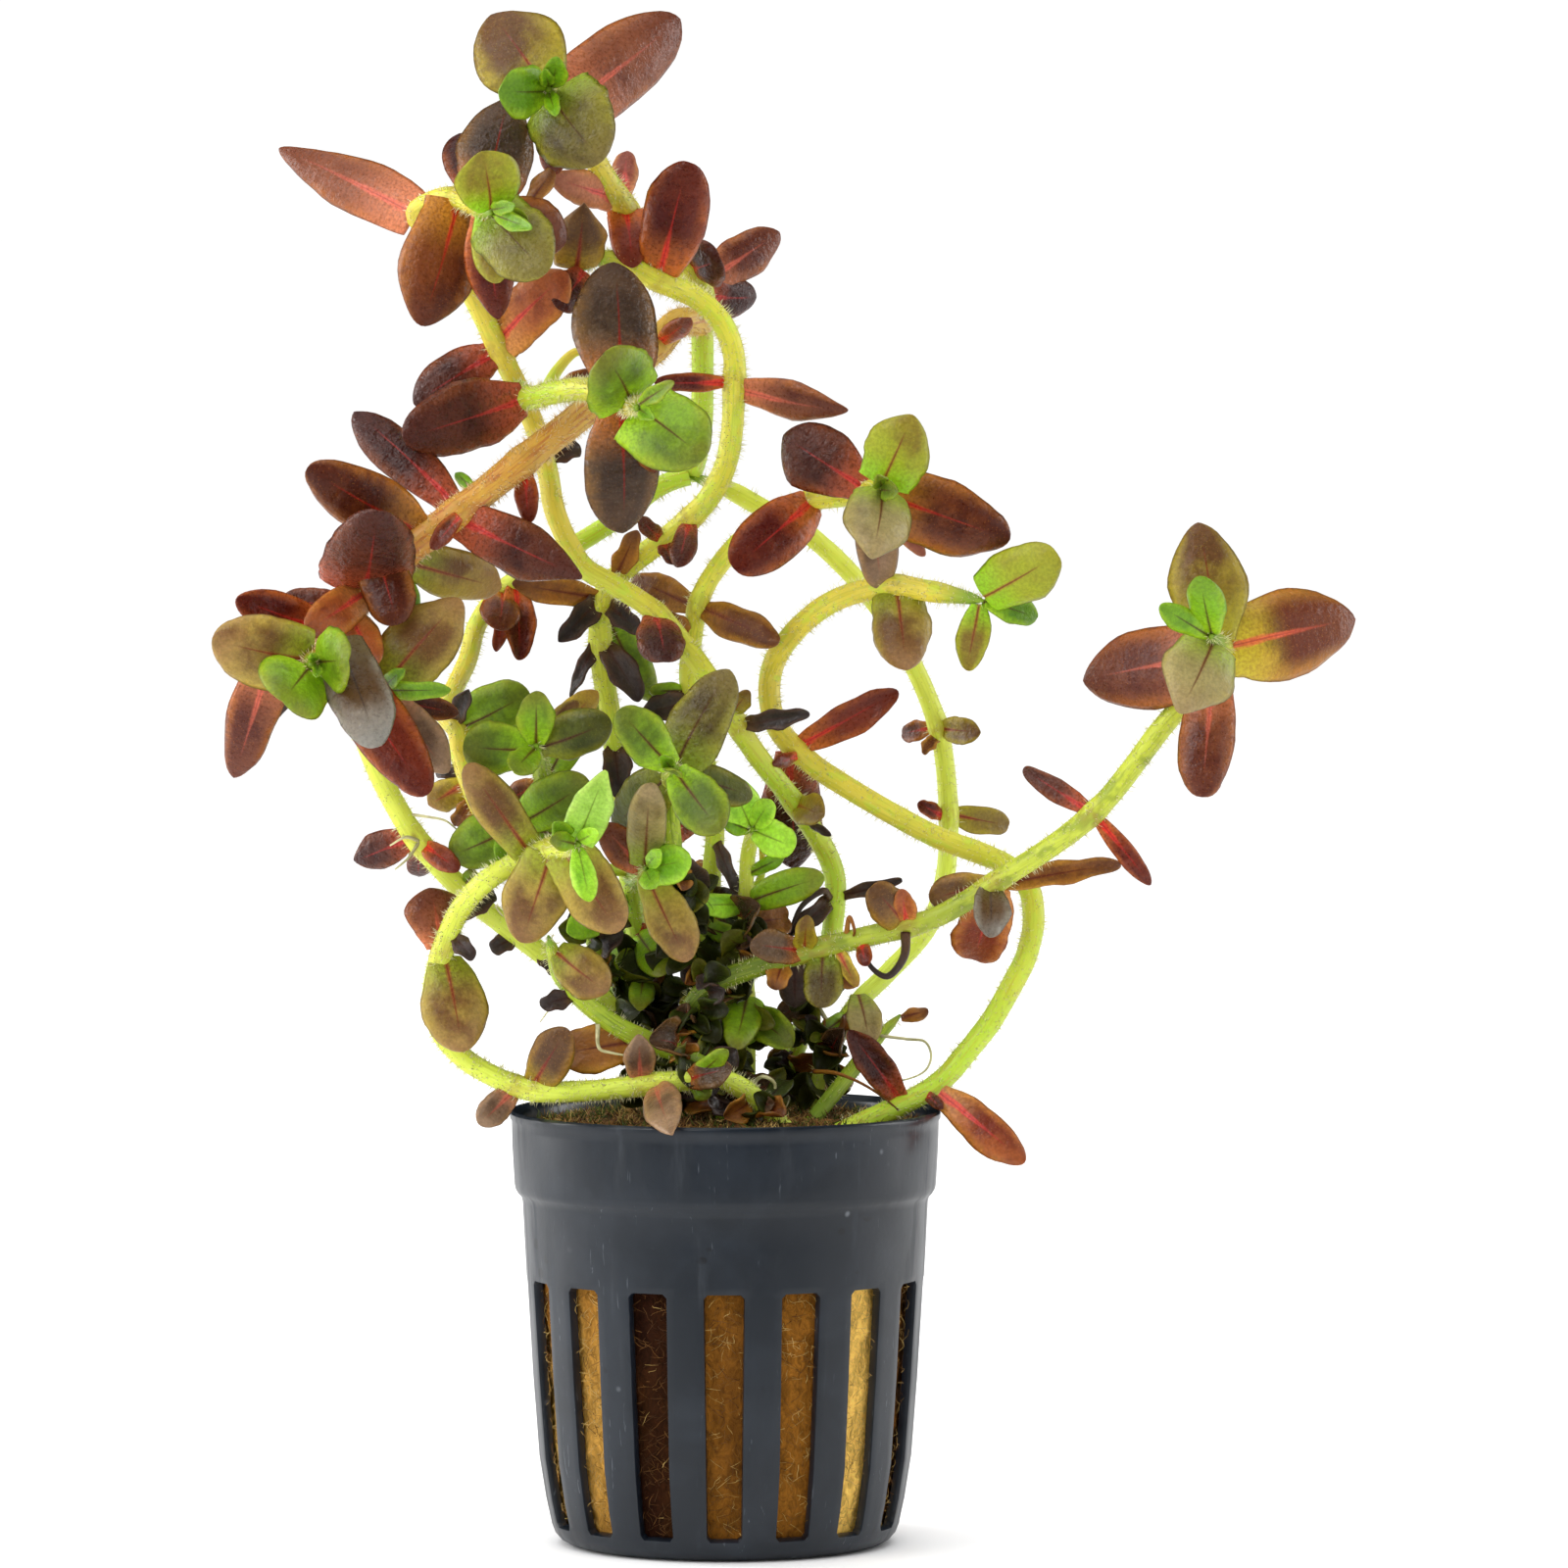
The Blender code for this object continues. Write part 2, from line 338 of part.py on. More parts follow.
def material(name, colour):
    base, roughness = COLOURS[colour]
    finish = bpy.data.materials.new(name)
    finish.use_nodes = True
    shader = finish.node_tree.nodes["Principled BSDF"]
    shader.inputs["Base Color"].default_value = (*base, 1.0)
    shader.inputs["Roughness"].default_value = roughness
    shader.inputs["Metallic"].default_value = 0.0
    finish.diffuse_color = (*base, 1.0)
    return finish


def mesh_object(name, bm, collection, colour):
    mesh = bpy.data.meshes.new(name)
    bm.to_mesh(mesh)
    bm.free()
    mesh.materials.append(material(name, colour))
    piece = bpy.data.objects.new(name, mesh)
    collection.objects.link(piece)
    return piece


def shade_round(piece, angle=40.0):
    piece.data.shade_smooth()
    piece.data.set_sharp_from_angle(angle=math.radians(angle))


def hide_cutter(piece):
    piece.hide_render = True
    piece.display_type = "WIRE"


def turned(name, profile, collection, colour):
    """A solid of revolution from (radius, height) points that run down the outer side and back to the axis."""
    bm = bmesh.new()
    verts = [bm.verts.new((radius * MM, 0.0, height * MM)) for radius, height in profile]
    for start, end in zip(verts, verts[1:]):
        bm.edges.new((start, end))
    piece = mesh_object(name, bm, collection, colour)
    screw = piece.modifiers.new("turn", "SCREW")
    screw.axis = "Z"
    screw.steps = ROUND_STEPS
    screw.render_steps = ROUND_STEPS
    screw.use_merge_vertices = True
    screw.merge_threshold = 0.00001
    return piece


def pot_profile():
    """Outer side from rim to base, then the inside from the middle of the floor up to the rim."""
    collar_foot = POT_HEIGHT - COLLAR_HEIGHT
    return [
        (POT_RIM_RADIUS, POT_HEIGHT),
        (COLLAR_FOOT_RADIUS, collar_foot),
        (BODY_TOP_RADIUS, collar_foot - 1.0),
        (BODY_MID_RADIUS, 20.0),
        (BODY_LOW_RADIUS, 5.0),
        (CORNER_RADIUS, 1.6),
        (BASE_RADIUS, 0.0),
        (0.0, 0.0),
        (0.0, FLOOR),
        (BASE_RADIUS - WALL, FLOOR),
        (BODY_LOW_RADIUS - WALL, 5.0),
        (BODY_MID_RADIUS - WALL, 20.0),
        (BODY_TOP_RADIUS - WALL, collar_foot),
        (POT_RIM_RADIUS - WALL, POT_HEIGHT),
        (POT_RIM_RADIUS, POT_HEIGHT),
    ]


def slot_cutters(collection):
    """One tapered wedge for each slot, all in one mesh; the first slot faces the front."""
    bm = bmesh.new()
    height = SLOT_TOP - SLOT_FOOT
    inner = BASE_RADIUS - 3.0
    outer = POT_RIM_RADIUS + 3.0
    for index in range(SLOT_COUNT):
        turn = Matrix.Rotation(2 * math.pi * index / SLOT_COUNT, 4, "Z")
        wedge = bmesh.ops.create_cube(bm, size=1.0)["verts"]
        for vert in wedge:
            width = SLOT_WIDTH_TOP if vert.co.z > 0 else SLOT_WIDTH_FOOT
            across = vert.co.x * width
            out = -outer if vert.co.y < 0 else -inner
            up = (SLOT_TOP + SLOT_FOOT) / 2 + vert.co.z * height
            vert.co = turn @ Vector((across * MM, out * MM, up * MM))
    cutter = mesh_object("slot_cutters", bm, collection, "pot")
    hide_cutter(cutter)
    return cutter


def net_pot(collection, cutters):
    pot = turned("net_pot", pot_profile(), collection, "pot")
    slots = pot.modifiers.new("slots", "BOOLEAN")
    slots.object = slot_cutters(cutters)
    slots.operation = "DIFFERENCE"
    slots.solver = "EXACT"
    shade_round(pot)


def plug_height(radius):
    """The height of the plug's domed top at a distance from its axis."""
    return PLUG_TOP - PLUG_EDGE_DROP * (radius / BODY_TOP_RADIUS) ** 2


def rockwool_plug(collection):
    """A packed plug that fills the pot's inside, with an uneven top that stands level with the rim."""
    rough = random.Random(PLUG_SEED)
    bm = bmesh.new()
    clear = WALL + 0.6
    top_radius = BODY_TOP_RADIUS - clear
    rings = [
        (BASE_RADIUS - clear, FLOOR + 0.5),
        (BODY_LOW_RADIUS - clear - 0.2, 5.5),
        (BODY_MID_RADIUS - clear - 0.2, 20.0),
        (top_radius - 0.2, 38.0),
        (top_radius, plug_height(top_radius)),
        (14.0, plug_height(14.0)),
        (7.0, plug_height(7.0)),
    ]
    steps = ROUND_STEPS // 2
    bottom = bm.verts.new((0.0, 0.0, (FLOOR + 0.5) * MM))
    rows = []
    for radius, height in rings:
        row = []
        for step in range(steps):
            angle = 2 * math.pi * step / steps
            reach = radius - rough.uniform(0.0, PLUG_ROUGHNESS)
            place = (reach * math.cos(angle) * MM, reach * math.sin(angle) * MM, height * MM)
            row.append(bm.verts.new(place))
        rows.append(row)
    top = bm.verts.new((0.0, 0.0, PLUG_TOP * MM))
    for low, high in zip(rows, rows[1:]):
        for step in range(steps):
            after = (step + 1) % steps
            bm.faces.new((low[step], low[after], high[after], high[step]))
    for step in range(steps):
        after = (step + 1) % steps
        bm.faces.new((bottom, rows[0][after], rows[0][step]))
        bm.faces.new((top, rows[-1][step], rows[-1][after]))
    bmesh.ops.recalc_face_normals(bm, faces=bm.faces)
    plug = mesh_object("rockwool_plug", bm, collection, "rockwool")
    shade_round(plug, 60.0)


def stem_places(name):
    """The points of a stem's axis. A stem that stands on the plug starts a gap above its top."""
    _, radius, path = STEMS[name]
    places = [spot(*place) for place in path]
    if name not in FORKED:
        first, second = places[:2]
        lean = (second - first).normalized()
        end_ring_drop = radius * math.sqrt(1.0 - lean.z ** 2)
        first.z = plug_height(math.hypot(first.x, first.y) - radius) + GAP + end_ring_drop
    return places


def stem_tube(name, collection):
    """A round stem along its path, thinner towards its tip, as a mesh with welded caps."""
    colour, radius, _ = STEMS[name]
    places = stem_places(name)
    curve = bpy.data.curves.new(name, "CURVE")
    curve.dimensions = "3D"
    curve.bevel_depth = radius * MM
    curve.bevel_resolution = 1
    curve.use_fill_caps = True
    spline = curve.splines.new("POLY")
    spline.points.add(len(places) - 1)
    for index, (point, place) in enumerate(zip(spline.points, places)):
        point.co = (*(place * MM), 1.0)
        point.radius = 1.0 - (1.0 - STEM_TIP_TAPER) * (index / (len(places) - 1)) ** 3
    guide = bpy.data.objects.new(name + "_guide", curve)
    collection.objects.link(guide)
    evaluated = guide.evaluated_get(bpy.context.evaluated_depsgraph_get())
    mesh = bpy.data.meshes.new_from_object(evaluated)
    bm = bmesh.new()
    bm.from_mesh(mesh)
    bmesh.ops.remove_doubles(bm, verts=bm.verts, dist=0.000002)
    bmesh.ops.recalc_face_normals(bm, faces=bm.faces)
    stem = mesh_object(name, bm, collection, colour)
    stem.matrix_world = guide.matrix_world
    bpy.data.objects.remove(guide, do_unlink=True)
    bpy.data.meshes.remove(mesh)
    shade_round(stem, 50.0)
    return stem


def nearest_on_stem(name, place):
    """The closest point of a stem's axis to a place, with the stem's direction there."""
    places = stem_places(name)
    best = None
    for start, end in zip(places, places[1:]):
        run = end - start
        share = min(1.0, max(0.0, (place - start).dot(run) / run.length_squared))
        point = start + run * share
        distance = (place - point).length
        if best is None or distance < best[0]:
            best = (distance, point, run.normalized())
    return best[1], best[2]


def leaf_foot(stem_name, base, tip, fused):
    """Where a leaf leaves its stem: on the side that faces its tip, a gap away or inside the stem."""
    radius = STEMS[stem_name][1]
    centre, direction = nearest_on_stem(stem_name, base)
    towards = tip - centre
    side = towards - direction * towards.dot(direction)
    reach = radius * FUSED_SHARE if fused else radius + GAP
    return centre + side.normalized() * reach


def leaf_outline(share):
    """Half-width of a leaf, as a part of its largest, from its broad foot (0) to its blunt tip (1)."""
    turn = LEAF_FOOT_SHARE + (1.0 - LEAF_FOOT_SHARE) * share ** 1.2
    return max(0.0, math.sin(math.pi * turn)) ** 0.55


def leaf_solid(name, stem_name, row, collection, fused):
    """A thin blade from foot to tip: a sphere drawn out to the leaf's outline, rolled and bowed."""
    _, colour, base, tip, width, roll, bow = row
    end = spot(*tip)
    foot = leaf_foot(stem_name, spot(*base), end, fused)
    along = (end - foot).normalized()
    length = (end - foot).length
    to_eye = (EYE - foot).normalized()
    facing = (to_eye - along * to_eye.dot(along)).normalized()
    facing = Matrix.Rotation(math.radians(roll), 3, along) @ facing
    across = facing.cross(along)
    rings = SMALL_LEAF_RINGS if fused else LEAF_RINGS
    bm = bmesh.new()
    bmesh.ops.create_uvsphere(bm, u_segments=4, v_segments=rings, radius=1.0)
    for vert in bm.verts:
        share = (vert.co.z + 1.0) / 2.0
        around = math.hypot(vert.co.x, vert.co.y)
        side = vert.co.x / around if around > 0.01 else 0.0
        face = vert.co.y / around if around > 0.01 else 0.0
        half = width / 2.0 * leaf_outline(share)
        rise = face * LEAF_THICKNESS / 2.0 + bow * 4.0 * share * (1.0 - share)
        vert.co = (foot + along * length * share + across * half * side + facing * rise) * MM
    return mesh_object(name, bm, collection, colour)


def shoot(stem_name, collection, cutters):
    """A stem with its small leaves fused to it, and its large leaves as pieces of their own."""
    stem = stem_tube(stem_name, collection)
    small = bpy.data.collections.new(stem_name + "_small_leaves")
    cutters.children.link(small)
    for index, row in enumerate(LEAVES.get(stem_name, [])):
        if row[0]:
            shade_round(leaf_solid(row[0], stem_name, row, collection, False))
        else:
            hide_cutter(leaf_solid(f"{stem_name}_leaf_{index}", stem_name, row, small, True))
    if small.objects:
        join = stem.modifiers.new("small_leaves", "BOOLEAN")
        join.operand_type = "COLLECTION"
        join.collection = small
        join.operation = "UNION"
        join.solver = "EXACT"


def main():
    clear_scene()
    parts = new_collection("purple_bacopa_salzmannii")
    cutters = new_collection("cutters")
    net_pot(parts, cutters)
    rockwool_plug(parts)
    for stem_name in STEMS:
        shoot(stem_name, parts, cutters)


main()
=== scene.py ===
"""The look of the purple bacopa: a dressed copy of each solid, in the same frame.

Lengths are millimetres, and MM turns them into metres. A place in the tables is across, height and depth,
as spot() reads it.
"""

import json
import math
import random
from collections import namedtuple

import bmesh
import bpy
from mathutils import Matrix, Vector, noise

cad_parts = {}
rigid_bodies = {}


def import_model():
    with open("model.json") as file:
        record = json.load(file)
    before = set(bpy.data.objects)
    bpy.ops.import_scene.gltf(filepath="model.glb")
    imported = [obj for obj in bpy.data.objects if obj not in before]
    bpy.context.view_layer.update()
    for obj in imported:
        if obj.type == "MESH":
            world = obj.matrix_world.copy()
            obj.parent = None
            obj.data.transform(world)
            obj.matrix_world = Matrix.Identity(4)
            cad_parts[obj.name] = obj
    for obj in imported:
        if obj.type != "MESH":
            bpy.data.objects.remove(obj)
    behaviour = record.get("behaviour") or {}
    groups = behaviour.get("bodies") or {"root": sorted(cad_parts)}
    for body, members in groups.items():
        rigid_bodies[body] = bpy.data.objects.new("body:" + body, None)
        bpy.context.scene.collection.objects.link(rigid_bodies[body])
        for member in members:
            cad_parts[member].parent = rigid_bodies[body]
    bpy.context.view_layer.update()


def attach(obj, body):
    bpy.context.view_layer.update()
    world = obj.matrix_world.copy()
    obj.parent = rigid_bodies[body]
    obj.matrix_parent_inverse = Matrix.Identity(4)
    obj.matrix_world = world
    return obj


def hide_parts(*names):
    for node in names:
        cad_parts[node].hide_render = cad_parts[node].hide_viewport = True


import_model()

MM = 0.001
FULL_TURN = 2 * math.pi
FRONT = -math.pi / 2

# The camera
EYE = Vector((6.9, -1200.0, 155.6))
AIM = Vector((6.9, 0.0, 89.46))
SENSOR = 36.0
LENS = 234.97

# How places are read: their height above the base, and how the shoots spread in depth as they rise
LIFT = 0.6
SPREAD = 0.9
SPREAD_FOOT = 52.0
SPREAD_RISE = 30.0

# The pot: its slots, its outer profile as height and radius, and further heights with a row of points
SLOT_COUNT = 16
SLOT_TOP = 31.6
SLOT_FOOT = 2.45
SLOT_WIDTH_TOP = 4.8
SLOT_WIDTH_FOOT = 4.1
SLOT_CORNER = 0.8
WALL = 1.1
EDGE = 0.22
POT_PROFILE = (
    (0.0, 17.8), (0.25, 18.7), (0.7, 19.5), (1.4, 20.1), (SLOT_FOOT, 20.5), (5.6, 21.2), (10.6, 22.0),
    (20.0, 22.7), (SLOT_TOP, 23.4), (40.4, 23.85), (41.0, 24.0), (41.4, 24.4), (41.9, 24.7), (42.5, 24.8),
    (47.0, 25.05), (49.9, 25.12), (50.25, 25.32), (50.85, 25.35), (51.2, 25.1))
POT_ROWS = (3.0, 4.0, 8.0, 14.0, 17.0, 24.0, 27.5, 30.2, 31.1, 32.4, 34.5, 37.0, 44.0, 49.0)
BASE_RINGS = (15.0, 10.0, 5.0)

# For each slot a row has four points across it, with three faces between them, and three along the next rib
POINTS_PER_SLOT = 7
SLOT_FACES = 3

# The rockwool plug, its fibres and its moss
PLUG_TOP = 51.0
PLUG_EDGE_DROP = 1.6
PLUG_DROP_RADIUS = 23.9
PLUG_RADIUS = 23.3
PLUG_GAP = 1.4
PLUG_FOOT = 2.0
PLUG_SIDE = 46.4
PLUG_SIDES = 150
PLUG_ROWS = 70
PLUG_TOP_RINGS = (0.93, 0.84, 0.74, 0.62, 0.5, 0.38, 0.26, 0.14, 0.05)
FIBRE_COUNT = 2600
MOSS_COUNT = 5200
MOSS_RADIUS = 23.5

# How dry the fibres are in the front slots, by the slot's number from the front
DRY_SLOTS = {14: 0.74, 15: 0.06, 0: 0.4, 1: 0.5, 2: 0.96}

# The same slots as the rockwool's own stains: their place across and how damp they are
STAINS = ((-0.0150, 0.38), (-0.0084, 1.0), (0.0, 0.68), (0.0082, 0.52), (0.0150, 0.0))

# Fineness
LEAF_ROWS = 20
LEAF_COLUMNS = 10
STEM_SIDES = 14
STEM_STEP = 0.8
THREAD_SIDES = 8
THREAD_STEP = 0.4
THREAD_TAPER = 0.6

# Hairs on a stem: how many for each millimetre, and their radius
HAIRS = 30
HAIR_RADIUS = 0.055

# A blade's relief: the groove over its midrib, the swell of its halves, its puckers and its notches
GROOVE = 0.22
GROOVE_WIDTH = 0.5
SWELL = 0.34
PUCKER = 0.18
UNEVEN = 0.17
NOTCH = 0.035
NOTCH_COUNT = 9.0
LEAST_HALF = 0.03

# Bumps in the leaves' materials, in metres: the leathery kinds have a coarser one
LEATHERY = ("umber", "bronze", "purple")
FINE_RELIEF = 0.00013
COARSE_RELIEF = 0.00022
LEAF_SHINE = 0.34

Stem = namedtuple("Stem", "look radius hairiness parent places")
StemKind = namedtuple("StemKind", "foot tip vein specks finish")
Leaf = namedtuple("Leaf", "node kind base tip width roll bow shape")
LeafKind = namedtuple(
    "LeafKind", "dark body margin foot tip rib rib_width rib_reach feathering specks gloss finish")


# Reading the tables


def limited(value):
    """A value kept between 0 and 1."""
    return min(1.0, max(0.0, value))


def spot(across, height, depth):
    """The point that the camera sees at (across, height), at a depth behind the plane of the pot's axis."""
    risen = limited((height - SPREAD_FOOT) / SPREAD_RISE)
    behind = depth * (1.0 + SPREAD * risen)
    seen = Vector((across, 0.0, height + LIFT))
    return EYE + (seen - EYE) * ((behind - EYE.y) / -EYE.y)


def numbers(words, unit=1.0):
    return tuple(float(word) / unit for word in words)


def read_places(text):
    """Places such as "10.5 50.6 5, 12.5 58 6", as points in space."""
    return [spot(*numbers(place.split())) for place in text.split(",")]


def read_leaf(line):
    """One leaf: "node: kind base tip width options". A leaf that is fused to its stem has no "node: "."""
    node, _, facts = line.rpartition(": ")
    kind, *words = facts.split()
    shape = {}
    for option in words[7:]:
        name, value = option.split("=")
        values = numbers(value.split(","))
        shape[name] = values if len(values) > 1 else values[0]
    base = spot(*numbers(words[:3]))
    tip = spot(*numbers(words[3:6]))
    roll = shape.pop("roll", 0.0)
    bow = shape.pop("bow", 0.3)
    return Leaf(node, kind, base, tip, float(words[6]), roll, bow, shape)


def unwrapped(text):
    """A text in which each indented line is joined to the line before it."""
    return text.strip().replace("\n    ", " ")


def read_leaves(text):
    """A paragraph for each stem: the stem's name, and then a line for each leaf."""
    table = {}
    for paragraph in unwrapped(text).split("\n\n"):
        stem_name, *lines = paragraph.splitlines()
        table[stem_name] = [read_leaf(line) for line in lines]
    return table


def read_kinds(text, kind_type):
    """A line for each kind: "name: tones in thousandths, other numbers, the record's finish"."""
    table = {}
    for line in unwrapped(text).splitlines():
        name, facts = line.split(": ")
        *tones, measures, finish = facts.split(", ")
        tones = [numbers(tone.split(), 1000) for tone in tones]
        table[name] = kind_type(*tones, *numbers(measures.split()), finish)
    return table


# The plant's tables

# Each stem: its kind, its radius, how hairy it is, the stem that it forks from, and its axis
STEMS = {
    "right_arch_stem": Stem("lime_stem", 1.15, 0.3, None, read_places("""
        10.5 50.6 5, 12.5 58 6, 15.5 63 7, 19 66.5 8, 23.5 71.5 9, 25.4 76 10, 26.2 82 10, 26 89 10,
        25 95.5 9, 21.7 103.5 8, 16.5 111.5 8, 9.5 118.4 7, 5 120.9 6, 0.3 123.5 6, -4.2 125 6""")),
    "top_shoot_stem": Stem("tan_stem", 1.3, 0.8, "right_arch_stem", read_places("""
        -3.5 126.9 6.5, -2.8 131 6.5, -2.7 143 5, -2.7 146.5 5, -4.5 149.5 4.5, -8 152.5 4, -11.8 156.7 1,
        -17.5 165.5 -3, -20 168.8 -6, -20.7 170.3 -10""")),
    "left_arch_stem": Stem("tan_stem", 1.15, 0.5, "right_arch_stem", read_places("""
        -5.8 124.6 6, -8 123.6 6, -12 120.5 6, -21.5 114.5 5, -26 111.8 6, -29 107.8 6, -30.2 103.5 5,
        -32.8 97 2, -31.3 95 1, -31.2 92.5 1, -30.3 89.5 0, -28.8 86 -1, -26.8 83.8 -3, -24.3 83.8 -6""")),
    "tall_shoot_stem": Stem("tan_stem", 1.25, 0.5, None, read_places("""
        6.8 50.6 9, 7.2 54.5 9, 8.5 58.5 8, 11.8 67.5 5, 12.9 75.2 4, 12.9 77.5 4, 12 80.5 4, 8 86.8 2,
        3.2 93 0, -0.8 99.6 -1, -5 105.5 -1, -8.5 109.3 -1, -13 112.2 -1, -16.5 114.3 -1, -18.3 117 -1,
        -20 121 -1, -20.7 125 -0.5, -22 130 0, -27 141 -2, -31.5 149.5 -4, -35 153.8 -4, -36 155.8 -4,
        -34 157.3 -5, -31.5 157.6 -7, -28.5 156.3 -11, -27.3 155.8 -14""")),
    "hook_shoot_stem": Stem("olive_stem", 1.3, 1.0, None, read_places("""
        -7 50.6 8, -8.5 60 7, -10.8 74 5, -11.8 84 4, -13.1 94 3, -14.6 104 2.5, -14.6 109 2.5,
        -13.9 111.8 3, -11.5 114.3 3, -4 120.1 1.5, -1.3 123.3 1, 0.4 127.5 1, 1.1 135.3 0, 1 139.5 0,
        -0.4 143 0, -3.2 145.8 0, -7.5 147.8 -1, -11 149.6 -1, -14.8 150.5 -1, -17.3 149 -1.5""")),
    "diagonal_shoot_stem": Stem("orange_stem", 1.7, 1.3, "top_shoot_stem", read_places("""
        -5.6 142.9 2.5, -8.3 140.2 2, -15.5 133.3 -2, -23.8 126.7 -6, -31 121 -8, -36.4 117 -9,
        -38.6 114.8 -9, -43.3 110.2 -8, -45.8 106.5 -9, -47.8 103.8 -13, -48.6 102.8 -17""")),
    "front_shoot_stem": Stem("tan_stem", 1.35, 1.3, "tall_shoot_stem", read_places("""
        -23.3 134.1 -3.4, -20 134.8 -6, -16.5 135.2 -8.5, -13 134.5 -11, -11 133.5 -14, -10.3 133 -18""")),
    "middle_shoot_stem": Stem("olive_stem", 1.15, 0.6, None, read_places("""
        -2.5 50.6 4, -2.3 60 4, -1.8 76.5 3, -1.2 84 3, -2 90 3, -4.3 101 3, -3.9 105.5 3, -3 110.5 2,
        -0.8 114.5 2, 3 118.6 1, 6.5 121 1, 10 122.2 0, 13.5 122.5 -1, 16.5 123.2 -3, 18.8 123.8 -7""")),
    "right_loop_stem": Stem("tan_stem", 1.3, 0.7, None, read_places("""
        19.5 50.8 -4, 25 53.6 -1, 28 56.8 0, 31 60.6 1, 33.6 65 2, 35.5 69 2, 36.2 73 2, 35.6 76.7 2,
        33 79.3 2, 24 83 2, 11 90.6 3, 8.3 92.9 3, 6.3 95.2 3, 5.2 98.5 3, 5.3 101.8 3, 6.5 104.6 2,
        9 107.6 1, 12.3 110.1 0, 16 111.5 0, 20 112.1 -1, 24 111.5 -2, 30.3 110.4 -4""")),
    "right_diagonal_stem": Stem("shaded_stem", 1.25, 0.6, None, read_places("""
        -5 50.6 -2, -5 57 -3, -4 62.5 -3.7, -1.5 65.2 -4, 6.5 68.2 -4, 15 70.5 -4, 20.8 71.9 -4,
        25 73.3 -4, 31.3 77 -4, 43.2 85.4 -5, 52.3 96.7 -5, 57.8 102.3 -6, 58.3 104.5 -8, 57 106.3 -12""")),
    "left_loop_stem": Stem("lime_stem", 1.25, 1.2, None, read_places("""
        4.2 50.8 -9, 2 53 -10, -1 54.2 -11, -5 53.9 -12, -15 52.8 -12, -20 52.6 -12, -24 53.1 -11,
        -28 54.8 -10, -31.3 57 -9, -33.6 60 -8, -34.4 63.5 -8, -34 66.5 -8, -32.2 72 -8, -30.6 74.8 -8,
        -28 77.5 -9, -24.8 79.5 -9, -21.5 80.9 -10, -18.5 81.6 -12, -17.2 81.8 -15""")),
    "low_left_stem": Stem("green_stem", 1.15, 0.5, None, read_places("""
        -0.5 50.6 -6, -1.5 54.5 -7, -5 56.9 -8, -9.5 58.7 -8, -13.5 60.9 -8, -17 63.7 -8, -19.3 66.5 -8,
        -20.8 71 -10""")),
    "left_stem": Stem("lime_stem", 1.3, 0.5, None, read_places("""
        -8 50.6 2, -10 57 0, -14 63 -1, -22.5 69.6 -3, -30 75.6 -4, -36.2 82.3 -4, -40.8 90.5 -5,
        -42.3 95 -6, -41.5 98.5 -8, -40.3 100.2 -11""")),
    "centre_left_stem": Stem("green_stem", 1.1, 0.4, None, read_places("""
        -4 50.6 7, -8 58 3.5, -13 66 3, -17 74 1, -19.5 82 -1, -21 88 -3, -22 92 -6, -22.2 93.4 -10""")),
    "centre_stem": Stem("green_stem", 1.1, 0.4, None, read_places("""
        0.5 50.6 -1, -1 60 0.5, -4.5 70 -0.5, -6 80 -4, -6.5 86 -6, -6.3 90 -9, -6 90.8 -13""")),
    "side_shoot_stem": Stem("green_stem", 1.0, 0.4, "hook_shoot_stem", read_places("""
        -10.5 77.5 2, -9.8 78 -2, -9.3 79 -7""")),
    "bright_shoot_stem": Stem("lime_stem", 0.9, 0.3, None, read_places("""
        2.5 50.6 1, 2.7 58 1, 2.4 70 0, 2.6 80 0, 3.2 83 -2, 3.2 83.6 -5""")),
    "cut_stub": Stem("green_stem", 0.95, 0.2, None, read_places("""
        11.5 50.8 -1, 15 55.2 2, 18 59 3, 20.6 61.7 3.5""")),
}

